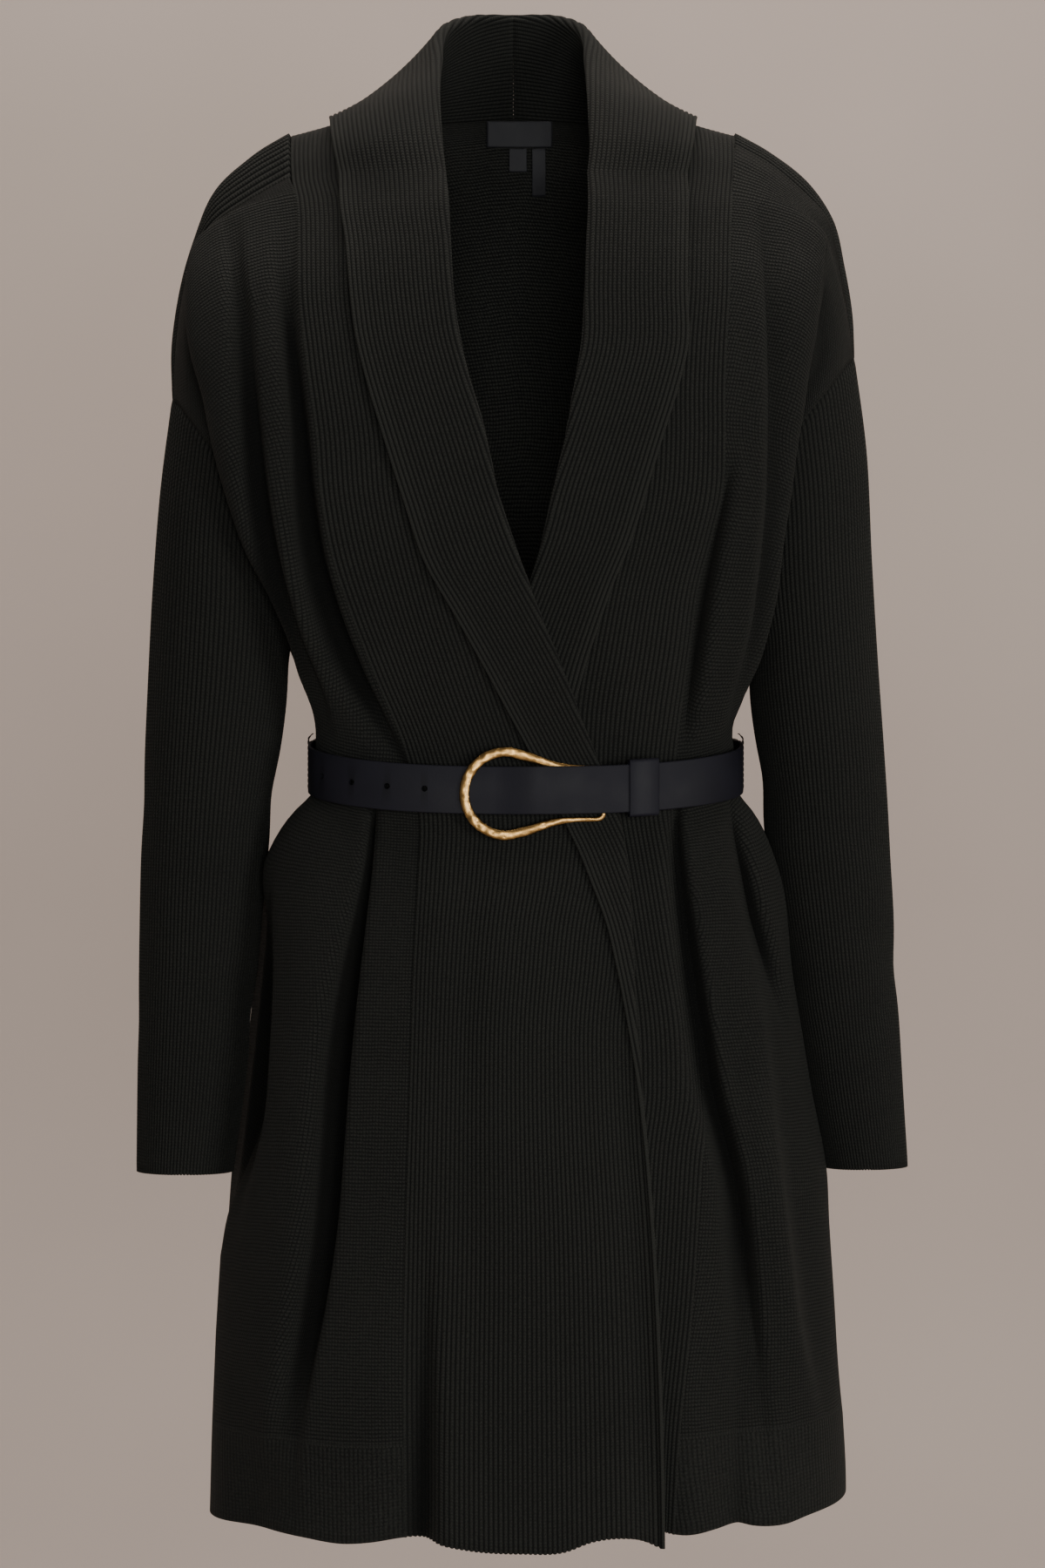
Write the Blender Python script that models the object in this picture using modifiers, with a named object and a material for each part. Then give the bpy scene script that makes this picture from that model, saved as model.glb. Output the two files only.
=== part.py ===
# Long rib-knit cardigan with a shawl collar, in its worn, hollow form, with its leather belt.
# Metres, +Z up. The front faces -Y and the wearer's left is at +X.
# The origin is at the base of the neck, between the shoulders that carry the garment.
import math

import bmesh
import bpy
import numpy as np

MM = 0.001

# Cloth
KNIT_WALL = 2.4 * MM          # wall of the knit
RIB_VALLEY = 0.66             # wall between two raised ribs, as a share of the wall on a rib
SEAM_INSET = 0.45 * MM        # each piece stops this far short of its seam line
CORNER_INSET = 2.8 * MM       # the same where it stands on another wall
LAYER_STEP = 4.2 * MM         # from one cloth layer to the next where the fronts cross
ROLL_STEP = 5.6 * MM          # from the stand to the turned fall of the collar
HEM_BORDER = 58 * MM          # height of the ribbed border above the hem
NECK_CENTRE = -6 * MM         # the garment hangs this far to the wearer's right at the neck

# Belt
BELT_WIDTH = 30 * MM
BELT_THICK = 2.6 * MM
BELT_HOLE = 3.8 * MM
BELT_HOLE_STEP = 24 * MM
BELT_HOLES = 4
KEEPER_WIDTH = 18 * MM
KEEPER_HEIGHT = 36 * MM
KEEPER_THICK = 1.3 * MM
BUCKLE_BAR = 6.2 * MM
BUCKLE_THICK = 2.8 * MM
FIT = 0.4 * MM                # clearance between belt pieces

# Columns across and along the grids that the cloth pieces are lofted on
FRONT_COLUMNS = 13            # from the band's seam out to the tip of the body
BACK_COLUMNS = 10             # from the middle of the back out to the tip
RETURN_COLUMNS = 4            # from the tip round to the side seam
STAND_COLUMNS = 10
TURN_COLUMNS = 3
FALL_COLUMNS = 6
SLEEVE_COLUMNS = 30
SADDLE_COLUMNS = 9
HEM_ROWS = 3

# Sections of the collar and of the shoulder strips, as steps in their tables
NECK_STEPS = (1, 1.75, 2.5, 3.25, 4, 4.6, 5.2, 5.8, 6.4, 7)
SHOULDER_STEPS = (0, 0.75, 1.5, 2.25, 3, 3.75, 4.5, 5.25, 6)


def table(columns, rows, plain=()):
    """Columns by name, given in millimetres and kept in metres; plain columns keep their unit."""
    values = np.array(rows, dtype=float)
    return {name: values[:, i] * (1 if name in plain else MM)
            for i, name in enumerate(columns.split())}


def track(tab, name, at, key="z"):
    """Value of one column at a height, on a smooth curve through the rows."""
    xs, ys = tab[key], tab[name]
    if xs[0] > xs[-1]:
        xs, ys = xs[::-1], ys[::-1]
    at = min(max(at, xs[0]), xs[-1])
    i = min(max(int(np.searchsorted(xs, at)) - 1, 0), len(xs) - 2)
    slope = np.gradient(ys, xs)
    span = xs[i + 1] - xs[i]
    t = (at - xs[i]) / span
    return ((1 + 2 * t) * (1 - t) ** 2 * ys[i] + t * (1 - t) ** 2 * span * slope[i]
            + t * t * (3 - 2 * t) * ys[i + 1] + t * t * (t - 1) * span * slope[i + 1])


def ramp(start, end, value):
    """0 before start, 1 after end, smooth between; start may be the larger one."""
    t = min(max((value - start) / (end - start), 0), 1)
    return t * t * (3 - 2 * t)


# Body sections: how far the front and the back stand out, and the depth at which each turns
# round to the side. The power squares the section off.
DEPTH = table("z tip back_tip front back power back_power", (
    (18, 20, 1, 50, 80, 1.3, 1.6), (0, 22, 4, 55, 82.5, 1.3, 1.7),
    (-20, 24, 8, 60, 85, 1.35, 1.8), (-37, 28, 14, 68, 91, 1.4, 1.75),
    (-50, 30, 20, 78, 96, 1.5, 1.75), (-76, 42, 36, 90, 100, 1.7, 1.8),
    (-100, 55, 50, 98, 103, 2.0, 2.0), (-130, 66, 64, 105, 106, 2.3, 2.3),
    (-160, 73, 73, 110, 108, 2.5, 2.5), (-200, 76, 76, 114, 108, 2.6, 2.6),
    (-250, 76, 76, 116, 105, 2.6, 2.6), (-300, 74, 74, 112, 99, 2.6, 2.6),
    (-350, 62, 60, 103, 90, 2.5, 2.5), (-385, 46, 44, 95.5, 82, 2.4, 2.4),
    (-405, 41, 39, 93.5, 80, 2.3, 2.3), (-424, 40, 38, 93, 81, 2.3, 2.3),
    (-443, 39, 37, 93.5, 86, 2.3, 2.3), (-456, 38, 36, 96, 91, 2.3, 2.3),
    (-480, 34, 32, 106, 98, 2.2, 2.2), (-520, 30, 28, 115, 108, 2.2, 2.2),
    (-600, 30, 28, 124, 118, 2.2, 2.2), (-700, 30, 28, 134, 126, 2.2, 2.2),
    (-800, 30, 28, 142, 134, 2.2, 2.2), (-895, 30, 28, 148, 140, 2.2, 2.2)),
    plain=("power", "back_power"))

# Half widths: tip is the fold that hangs beside the sleeve, side is the side seam behind it.
WIDTH = {
    -1: table("z tip side", (
        (-20, 178, 178), (-37, 190, 190), (-50, 200, 195), (-63, 204, 200), (-76, 208.5, 200),
        (-100, 212, 200), (-122, 212, 190), (-146, 209, 180), (-177, 200.5, 170),
        (-205, 195, 160), (-230, 188.5, 154), (-253, 181.5, 151), (-280, 173, 147),
        (-303, 164, 142), (-349, 142.5, 134), (-385, 131, 129), (-407, 130.5, 129.5),
        (-424, 131, 130), (-440, 144, 142), (-469, 159, 157), (-520, 164.5, 163), (-560, 168, 167),
        (-620, 175, 174), (-667, 181, 180), (-700, 187, 186), (-748, 190.5, 189.5),
        (-822, 195, 194), (-895, 197, 196))),
    1: table("z tip side", (
        (-20, 166, 166), (-37, 176, 176), (-50, 188, 186), (-65, 192, 188), (-89, 191, 180),
        (-105, 189, 175), (-136, 184.5, 165), (-160, 180, 157), (-184, 177, 149),
        (-208, 173.5, 143), (-234, 171, 138), (-262, 167.5, 134), (-310, 161, 130),
        (-343, 152, 128), (-365, 143, 128), (-385, 135, 131), (-407, 134, 133),
        (-424, 135, 134), (-440, 144, 142), (-470, 155.5, 153.5), (-545, 166, 165), (-610, 177, 176),
        (-664, 187.5, 186.5), (-700, 192, 191), (-756, 197, 196), (-812, 200, 199),
        (-864, 203, 202), (-895, 202.5, 201.5)))}

# Front bands: seam to the panel, roll line and free edge, across the front (+x, wearer's left).
BAND = {
    -1: table("z seam roll edge", (
        (-37, -146, -48.5, -116), (-60, -142.5, -47, -114), (-80, -141.5, -46, -111),
        (-117, -140, -44, -107.5), (-143, -137, -40, -104), (-160, -135, -36, -100),
        (-201, -129.5, -24.5, -88), (-242, -126, -15.5, -75), (-284, -118, -1, -60),
        (-311, -109, 9, -44), (-350, -94, 25, -22), (-404, -72, 45, 6), (-437, -64.5, 58, 22),
        (-478, -65, 64.5, 39), (-507, -66.5, 66, 50), (-537, -68, 67.5, 57),
        (-570, -69, 69, 63), (-604, -70, 72, 67), (-691, -72.5, 79, 74),
        (-783, -75, 83.5, 78.5), (-895, -75, 86, 81))),
    1: table("z seam roll edge", (
        (-37, 134.5, 42.5, 104), (-60, 132.5, 42, 104), (-80, 131.5, 41, 103.5),
        (-111, 130.5, 40, 103), (-149, 128, 37.5, 103), (-174, 127, 33, 97),
        (-206, 127, 27.5, 87), (-236, 125.5, 20.5, 78), (-268, 118, 13.5, 68),
        (-296, 110.5, 5.5, 56.5), (-339, 105, -9, 42), (-375, 100, -18, 31),
        (-404, 96.5, -24, 16), (-440, 95, -30, 0), (-470, 99, -33, -14),
        (-495, 102, -34, -22), (-522, 105.5, -35, -28), (-572, 113.5, -37, -32),
        (-610, 115, -38, -33), (-664, 111.5, -39, -34), (-745, 106, -40, -35),
        (-819, 98.5, -41, -36), (-895, 95, -42, -37)))}

# Heights of the cross-sections that a band and its side panel share, from the seam at the
# shoulder to the hem. Above the underarm a panel's section runs down and outwards: it passes
# the tip at its own height and ends on the armhole, at an angle from the top of the sleeve.
YOKE = {
    -1: table("z tip angle", (
        (-50, -85, 32), (-72, -108, 50), (-101, -135, 70), (-134, -164, 92), (-170, -196, 114),
        (-208, -230, 136), (-248, -265, 158), (-286, -298, 180)), plain=("angle",)),
    1: table("z tip angle", (
        (-50, -76, 36), (-70, -97, 54), (-95, -121, 74), (-124, -148, 96), (-158, -178, 118),
        (-195, -210, 140), (-232, -243, 162), (-268, -275, 180)), plain=("angle",))}
YOKE_BACK = (0, -22, -52, -86, -122, -160, -200, -244)
BELOW_ARM = (-326, -352, -378, -402, -424, -443, -460, -482, -508, -545, -595, -655, -720, -780)
HEM_FRONT = {-1: -889 * MM, 1: -883 * MM}
HEM_SIDE = {-1: -882 * MM, 1: -868 * MM}
HEM_BACK = -876 * MM

# Folds: a trough (or a ridge, where the depth is negative) along each row of places.
FOLD_COLUMNS = "z x depth width"
FRONT_FOLDS = {
    -1: tuple(table(FOLD_COLUMNS, rows) for rows in (
        # deep fold beside the band, from the shoulder to the belt
        ((-50, 147, 0, 7), (-110, 146.5, 5, 7), (-143, 143.5, 12, 7), (-201, 136.5, 19, 7.5),
         (-242, 131.5, 21, 7.5), (-284, 124, 21, 7.5), (-311, 116.5, 20, 7.5),
         (-350, 101, 16, 7), (-385, 83, 8, 6), (-405, 75, 2, 6), (-415, 72, 0, 6)),
        # second fold, towards the sleeve
        ((-60, 183, 0, 6), (-101, 178, 6, 6), (-127, 171.5, 9, 6), (-163, 167, 10, 6),
         (-206, 161.5, 11, 6), (-252, 157, 11, 6), (-289, 150, 10, 6), (-330, 138, 8, 6),
         (-366, 126, 4, 5), (-395, 120, 0, 5)),
        # pleat that opens below the belt
        ((-428, 93, 0, 4), (-447, 93.5, 9, 4.5), (-474, 94, 13, 5.5), (-501, 100, 17, 7),
         (-528, 105, 19, 8.5), (-561, 109, 21, 9.5), (-610, 114, 21, 10), (-691, 118, 19, 9.5),
         (-745, 126, 15, 9.5), (-822, 137, 7, 10), (-880, 143, 3, 12)),
        # full tube of cloth beside the pleat
        ((-440, 132, 0, 13), (-500, 133, -4, 13), (-610, 140, -5, 14), (-745, 152, -4, 14),
         (-860, 165, 0, 14)))),
    1: tuple(table(FOLD_COLUMNS, rows) for rows in (
        ((-50, 150, 0, 6), (-100, 152, 5, 6), (-143, 154, 7, 6), (-206, 155, 8, 6.5),
         (-236, 154, 8, 6.5), (-291, 150, 9, 7), (-326, 145, 9, 7), (-360, 137, 6, 6),
         (-388, 131, 2, 6), (-400, 129, 0, 6)),
        # band turned in beside its seam
        ((-225, 131, 0, 5), (-250, 128, 6, 5.5), (-296, 117, 12, 6.5), (-339, 111, 12, 6.5),
         (-375, 105, 6, 6), (-400, 100, 0, 6)),
        ((-425, 100, 0, 5), (-437, 100, 6, 5), (-478, 105, 12, 6), (-522, 111.5, 15, 6.5),
         (-565, 119.5, 16, 7), (-613, 122.5, 16, 7.5), (-665, 131, 15, 8), (-727, 138, 12, 8),
         (-745, 140, 10, 8), (-831, 146, 3, 10), (-870, 148, 0, 10)),
        ((-425, 126, 0, 4), (-452, 130, 6, 5), (-474, 134, 8, 5.5), (-501, 140, 9, 5.5),
         (-523, 147, 8, 5.5), (-545, 151, 4, 6), (-570, 154, 0, 6)),
        # sharp ridge on the wearer's left hip
        ((-560, 144, 0, 8), (-600, 149, -4, 8), (-686, 159, -5, 8), (-745, 166, -5, 8),
         (-800, 174, -2, 9), (-840, 178, 0, 9))))}
BACK_FOLDS = {
    -1: tuple(table(FOLD_COLUMNS, rows) for rows in (
        ((-120, 150, 0, 9), (-200, 140, 8, 9), (-300, 115, 11, 9), (-360, 90, 8, 8),
         (-400, 78, 0, 8)),
        ((-170, 70, 0, 11), (-260, 64, 5, 11), (-350, 52, 7, 9), (-400, 46, 0, 8)),
        ((-428, 40, 0, 7), (-470, 42, 7, 8), (-560, 50, 11, 11), (-700, 58, 9, 13),
         (-840, 66, 3, 15), (-880, 68, 2, 15)),
        ((-428, 95, 0, 7), (-480, 100, 9, 8), (-600, 112, 13, 11), (-740, 124, 9, 12),
         (-860, 132, 2, 14)))),
    1: tuple(table(FOLD_COLUMNS, rows) for rows in (
        ((-110, 140, 0, 9), (-190, 132, 7, 9), (-290, 112, 10, 9), (-350, 92, 8, 8),
         (-400, 76, 0, 8)),
        ((-190, 50, 0, 11), (-270, 46, 4, 11), (-345, 40, 6, 9), (-400, 34, 0, 8)),
        ((-428, 52, 0, 7), (-475, 56, 8, 8), (-580, 66, 12, 11), (-690, 72, 10, 13),
         (-820, 78, 4, 15), (-880, 80, 2, 15)),
        ((-428, 104, 0, 7), (-485, 112, 8, 8), (-590, 126, 11, 10), (-720, 138, 8, 12),
         (-850, 146, 2, 14))))}

# Collar: the band's sections from the front of the shoulder to the back of the neck, for the
# wearer's left; x is measured outwards from the centre. Each runs from the seam past the belly
# of the stand to the roll line, then past the belly of the fall to the free edge.
NECK = table("step seam_x seam_y seam_z stand_x stand_y stand_z roll_x roll_y roll_z "
             "fall_x fall_y fall_z edge_x edge_y edge_z", (
    (1, 140.5, -44, -38, 86, -72, -37, 43.5, -70, -34, 78, -77, -36, 110.5, -61.5, -34),
    (2, 142, -30, -23, 80, -54, -13, 46.5, -50, -8, 80, -64, -8, 114.5, -46, -12),
    (3, 142.5, -12, -12, 72, -24, 6, 48, -24, 20, 75, -36, 17, 117, -18, 3.5),
    (4, 141.5, 10, -8.5, 68, 8, 11, 48.5, 6, 46, 70, 6, 33, 117.5, 12, 7),
    (5, 128, 38, -2, 62, 44, 19, 46, 38, 70, 70, 48, 42, 111, 54, 9),
    (6, 72, 68, 11, 36, 66, 42, 29, 62, 81.5, 46, 76, 54, 62, 83, 12.5),
    (7, 0, 80, 18, 0, 72, 50, 0, 69, 83, 0, 86, 54, 0, 90, 14)), plain=("step",))

# Ribbed strips over the shoulders, from the collar out and down to the armhole: front edge,
# crown and back edge at each step; x is measured outwards from the middle of the front.
SADDLE_COLUMNS_NAMED = "step front_x front_y front_z crown_x crown_y crown_z back_x back_y back_z"
SADDLE = {
    -1: table(SADDLE_COLUMNS_NAMED, (
        (0, 147.5, -42, -37, 149.5, -18, -14, 149.5, 8, -8.5),
        (1, 172, -42, -50, 173, -14, -20, 172, 13, -19),
        (2, 196, -38, -63, 198, -10, -38, 197, 17, -40),
        (3, 207, -33, -78, 211, -6, -68, 210, 21, -70),
        (4, 214, -29, -103, 218.5, -3, -102, 217, 23, -103),
        (5, 219, -25, -138, 224, -1, -139, 221, 23, -138),
        (6, 221.3, -22.6, -175, 223.5, 0, -172, 221.3, 22.6, -175)), plain=("step",)),
    1: table(SADDLE_COLUMNS_NAMED, (
        (0, 135.5, -24, -18, 136.5, 0, -9, 136, 24, -13),
        (1, 158, -25, -28, 158.5, -1, -16, 157, 24, -22),
        (2, 180, -25, -44, 182, -1, -32, 180, 24, -39),
        (3, 194, -25, -62, 198.5, -1, -59, 195, 24, -62),
        (4, 200.5, -24.5, -88, 205.5, -1, -88, 202, 24, -88),
        (5, 205, -23.5, -117, 210.5, 0, -118, 206, 23.5, -117),
        (6, 209.5, -22.6, -149, 211.7, 0, -146, 209.5, 22.6, -149)), plain=("step",))}

# Sleeves: rings from the armhole seam to the cuff. A ring's outer end stands up by rise.
SLEEVE_COLUMNS_NAMED = "z x y half_width rise half_depth"
SLEEVE = {
    -1: table(SLEEVE_COLUMNS_NAMED, (
        (-222, 186.8, 0, 36.7, 50, 66), (-262, 190.7, 0, 40.5, 30, 65), (-310, 193.7, 0, 42.5, 14, 63),
        (-360, 196.8, -1, 42.5, 4, 60), (-420, 201, -3, 40.8, 0, 56), (-480, 205, -6, 38.6, 0, 53),
        (-560, 209, -10, 35.6, 0, 49), (-620, 212.7, -14, 32.4, 0, 45), (-667, 215.9, -18, 29.4, 0, 42))),
    1: table(SLEEVE_COLUMNS_NAMED, (
        (-196, 175, 0, 36.7, 50, 66), (-238, 179.5, 0, 40.2, 30, 64.5), (-290, 182, 0, 41, 14, 62),
        (-345, 186.2, -1, 40.6, 4, 59), (-400, 191.4, -3, 39.4, 0, 55), (-460, 196.2, -6, 38.2, 0, 51),
        (-545, 204.7, -10, 33.8, 0, 46), (-610, 212, -14, 29.8, 0, 42), (-664, 219, -18, 25.9, 0, 39)))}
SLEEVE_RINGS = 9

# Belt line: half widths, how far it stands out, and its height at the front, side and back.
BELT = {"right": 135 * MM, "left": 139 * MM, "front": 105.5 * MM, "back": 84.8 * MM,
        "front_tip": 42 * MM, "back_tip": 40 * MM, "power": 2.5,
        "z_front": -424 * MM, "z_side": -407 * MM, "z_back": -402 * MM}
BELT_DIP = BELT["z_side"] - BELT["z_front"]
BUCKLE_LEFT = -36 * MM        # centre line of the round end
BUCKLE_RADIUS = 26 * MM
BUCKLE_END = 50.5 * MM        # centre line of the cross bar
BUCKLE_ARM = 15.8 * MM        # half the distance between the arms
BUCKLE_Z = -426 * MM
KEEPER_X = 75 * MM
TAIL_END_X = 81 * MM
HOLE_X = -61 * MM             # the hole nearest the buckle

# Bare woven tabs inside the back of the neck: centre, height of the middle, width and height.
LABEL_THICK = 0.6 * MM
LABELS = {"label_main": (-2, 7.5, 44, 17), "label_size": (-3, -9.2, 12, 15),
          "label_care": (11, -16.7, 9, 30)}

COLOURS = {"fine_knit": (0.030, 0.029, 0.025), "rib_knit": (0.033, 0.032, 0.028),
           "leather": (0.020, 0.020, 0.032), "brass": (0.72, 0.52, 0.24),
           "satin": (0.012, 0.012, 0.020), "thread": (0.025, 0.024, 0.021)}


# ---------------------------------------------------------------- the body's surfaces

def side_of(x):
    return -1 if x < 0 else 1


def fold_depth(folds, x, z):
    """Depth of all folds at one place, taken inwards from the plain surface."""
    depth = 0
    for fold in folds:
        if fold["z"][-1] <= z <= fold["z"][0]:
            offset = (x - track(fold, "x", z)) / track(fold, "width", z)
            depth += track(fold, "depth", z) * math.exp(-offset * offset / 2)
    return depth


def shell_y(x, z, back=False):
    """How far the plain front or back stands out from the middle plane."""
    half = track(WIDTH[side_of(x)], "tip", z)
    tip = track(DEPTH, "back_tip" if back else "tip", z)
    full = track(DEPTH, "back" if back else "front", z)
    power = track(DEPTH, "back_power" if back else "power", z)
    share = min(abs(x) / half, 0.9992)
    return tip + (full - tip) * (1 - share ** power) ** (1 / power)


def body_point(x, z, lift=0.0, back=False):
    """Point on the folded front or back, lifted outwards from the middle of its wall."""
    facing = 1 if back else -1
    step = 0.5 * MM
    here = shell_y(x, z, back)
    slope_x = (here - shell_y(x - step * side_of(x), z, back)) / step * side_of(x)
    slope_z = (shell_y(x, z + step, back) - shell_y(x, z - step, back)) / (2 * step)
    normal = np.array((-slope_x, facing, -slope_z))
    normal /= np.linalg.norm(normal)
    folds = (BACK_FOLDS if back else FRONT_FOLDS)[side_of(x)]
    return np.array((x, facing * here, z)) + normal * (lift - fold_depth(folds, abs(x), z))


def ring_point(side, angle, clear=0.0):
    """Point on an armhole seam; 0 degrees is outermost, 90 in front; clear is towards the body."""
    ring = {name: values[0] for name, values in SLEEVE[side].items()}
    c, s = math.cos(math.radians(angle)), math.sin(math.radians(angle))
    outward = np.array((ring["half_width"] * c, -ring["half_depth"] * s, ring["rise"] * c))
    inward = np.array((-ring["rise"], 0, ring["half_width"]))
    inward /= np.linalg.norm(inward)
    point = np.array((ring["x"], ring["y"], ring["z"])) + outward + inward * clear
    return point * (side, 1, 1)


def panel_end(side, angle):
    """Where a panel's inner surface ends on the armhole; it stands off most at the underarm."""
    clear = KNIT_WALL * 0.75 + 3.6 * MM * ramp(80, 170, abs(angle))
    return ring_point(side, angle, clear) - np.array((0, math.copysign(SEAM_INSET, angle), 0))


def shoulder_line(side, part):
    """One edge of a shoulder strip, at the strip's own sections."""
    strip = SADDLE[side]
    return np.array([[track(strip, part + axis, step, "step") * scale
                      for axis, scale in (("_x", side), ("_y", 1), ("_z", 1))]
                     for step in SHOULDER_STEPS])


def neck_seam(side, step):
    return np.array((NECK_CENTRE + side * track(NECK, "seam_x", step, "step"),
                     track(NECK, "seam_y", step, "step"), track(NECK, "seam_z", step, "step")))


def resample(points, count, density=None):
    """The same line with its points spread along it, closer where it is denser."""
    points = np.array(points)
    steps = np.linalg.norm(np.diff(points, axis=0), axis=1)
    if density is not None:
        steps = steps * (density[1:] + density[:-1]) / 2
    lengths = np.concatenate(([0], np.cumsum(steps)))
    places = np.linspace(0, lengths[-1], count)
    return np.column_stack([np.interp(places, lengths, points[:, k]) for k in range(3)])


def tip_height(z):
    """Sections near the belt run up towards the sides, as the belt does."""
    return z + BELT_DIP * ramp(-345 * MM, -402 * MM, z) * ramp(-545 * MM, -450 * MM, z)


def side_line(side, inner_x, z, tip_z, end, count, back=False):
    """A section from inner_x out to the tip of the body and round it to its end point."""
    tip_x = track(WIDTH[side], "tip", tip_z) * 0.9990
    folds = (BACK_FOLDS if back else FRONT_FOLDS)[side]
    line = []
    density = []
    for a in np.linspace(0, 1, 60):
        height = z + (tip_z - z) * a ** 1.4
        x = inner_x + (tip_x - inner_x) * math.sin(a * math.pi / 2)
        line.append(body_point(side * x, height, -KNIT_WALL / 2, back))
        close = sum(math.exp(-((x - track(fold, "x", height)) / (30 * MM / 2)) ** 2)
                    for fold in folds if fold["z"][-1] <= height <= fold["z"][0])
        density.append(1 + 1.5 * close)
    returned = []
    tip = line[-1]
    for t in np.linspace(0, 1, 24):
        point = tip + (end - tip) * t
        point[0] = end[0] + (tip[0] - end[0]) * (1 - t) ** 2.2
        returned.append(point)
    return np.concatenate((resample(line, count, np.array(density)),
                           resample(returned, RETURN_COLUMNS + 1)[1:]))


def pull_back(edge, inner, distances):
    """Move an edge's points towards their inner neighbours."""
    away = inner - edge
    distances = np.broadcast_to(distances, (len(edge),))
    edge += away / np.linalg.norm(away, axis=1)[:, None] * distances[:, None]


def sink_top(grid, depth):
    """Move a panel's top row inwards, so that its wall is centred on the seam there."""
    along = np.gradient(grid[0], axis=0)
    normal = np.cross(along, grid[1] - grid[0])
    grid[0] -= normal / np.linalg.norm(normal, axis=1)[:, None] * depth


# ---------------------------------------------------------------- pieces as Blender objects

def material(name, metallic=0.0, roughness=0.85):
    found = bpy.data.materials.get(name)
    if found:
        return found
    made = bpy.data.materials.new(name)
    made.use_nodes = True
    shader = made.node_tree.nodes["Principled BSDF"]
    shader.inputs["Base Color"].default_value = (*COLOURS[name.split(".")[0]], 1)
    shader.inputs["Metallic"].default_value = metallic
    shader.inputs["Roughness"].default_value = roughness
    return made


def add_object(name, mesh, finish, collection):
    piece = bpy.data.objects.new(name, mesh)
    mesh.materials.append(finish)
    collection.objects.link(piece)
    return piece


def loft_mesh(name, grid, closed=False):
    """Mesh of one face for each cell of a grid of points, rows by columns."""
    rows, columns = grid.shape[:2]
    bm = bmesh.new()
    verts = [[bm.verts.new(grid[i, j]) for j in range(columns)] for i in range(rows)]
    last = columns if closed else columns - 1
    for i in range(rows - 1):
        for j in range(last):
            k = (j + 1) % columns
            bm.faces.new((verts[i][j], verts[i][k], verts[i + 1][k], verts[i + 1][j]))
    mesh = bpy.data.meshes.new(name)
    bm.to_mesh(mesh)
    bm.free()
    mesh.shade_smooth()
    return mesh


def knit_wall(name, grid, finish, collection, offset, rib=None, closed=False):
    """A knit wall on a grid; rib(i, j) is True where the wall lies in a valley between ribs."""
    piece = add_object(name, loft_mesh(name, grid, closed), finish, collection)
    wall = piece.modifiers.new("wall", 'SOLIDIFY')
    wall.thickness = KNIT_WALL
    wall.offset = offset
    if rib:
        columns = grid.shape[1]
        group = piece.vertex_groups.new(name="rib")
        for i in range(grid.shape[0]):
            for j in range(columns):
                group.add([i * columns + j], RIB_VALLEY if rib(i, j) else 1.0, 'REPLACE')
        wall.vertex_group = "rib"
    return piece


def front_panel(side, name, finish, collection):
    """Fine-knit side panel from the band seam round to the side seam, with its ribbed border."""
    edge = shoulder_line(side, "front")
    upper = np.linspace(0, 4, FRONT_COLUMNS)
    top = np.column_stack([np.interp(upper, range(len(edge)), edge[:, k]) for k in range(3)])
    lines = [np.concatenate((top, edge[5:]))]
    yoke = YOKE[side]
    for z, tip, angle in zip(yoke["z"], yoke["tip"], yoke["angle"]):
        seam = abs(track(BAND[side], "seam", z))
        lines.append(side_line(side, seam, z, tip, panel_end(side, angle), FRONT_COLUMNS))
    hem = np.linspace(HEM_FRONT[side] + HEM_BORDER, HEM_FRONT[side], HEM_ROWS)
    for z in [z * MM for z in BELOW_ARM] + list(hem):
        seam = abs(track(BAND[side], "seam", z))
        tip = tip_height(z) + (HEM_SIDE[side] - HEM_FRONT[side]) * ramp(-700 * MM, -880 * MM, z)
        end = np.array((side * (track(WIDTH[side], "side", tip) - KNIT_WALL / 2), -SEAM_INSET, tip))
        lines.append(side_line(side, seam, z, tip, end, FRONT_COLUMNS))
    grid = np.array(lines)
    if side > 0:
        grid = grid[:, ::-1]
    sink_top(grid, KNIT_WALL / 2)
    pull_back(grid[0], grid[1], 2.5 * SEAM_INSET)
    seam_column = 0 if side < 0 else -1
    inner_column = 1 if side < 0 else -2
    pull_back(grid[:, seam_column], grid[:, inner_column], SEAM_INSET)
    border = grid.shape[0] - HEM_ROWS
    return knit_wall(name, grid, finish, collection, 1, lambda i, j: i > border and j % 2 == 1)


def back_panel(name, finish, collection):
    """The whole back in one piece, from the neck seam and the shoulder strips to the hem."""
    halves = {}
    for side in (-1, 1):
        neck = [neck_seam(side, step) for step in NECK_STEPS[:4:-1]]
        lines = [np.concatenate((neck, shoulder_line(side, "back")))]
        yoke = YOKE[side]
        for centre, tip, angle in zip(YOKE_BACK, yoke["tip"], yoke["angle"]):
            lines.append(side_line(side, 0, centre * MM, tip, panel_end(side, -angle),
                                   BACK_COLUMNS, True))
        hem = np.linspace(HEM_BACK + HEM_BORDER, HEM_BACK, HEM_ROWS)
        for z in [tip_height(z * MM) for z in BELOW_ARM] + list(hem):
            tip = z + (HEM_SIDE[side] - HEM_BACK) * ramp(-700 * MM, HEM_BACK, z)
            end = np.array((side * (track(WIDTH[side], "side", tip) - KNIT_WALL / 2), SEAM_INSET, tip))
            lines.append(side_line(side, 0, z, tip, end, BACK_COLUMNS, True))
        halves[side] = np.array(lines)
    grid = np.concatenate((halves[-1][:, :0:-1], halves[1]), axis=1)
    sink_top(grid, KNIT_WALL / 2)
    pull_back(grid[0], grid[1], 4.5 * SEAM_INSET)
    border = grid.shape[0] - HEM_ROWS
    return knit_wall(name, grid, finish, collection, 1,
                     lambda i, j: i > border and j % 2 == 1)


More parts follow.
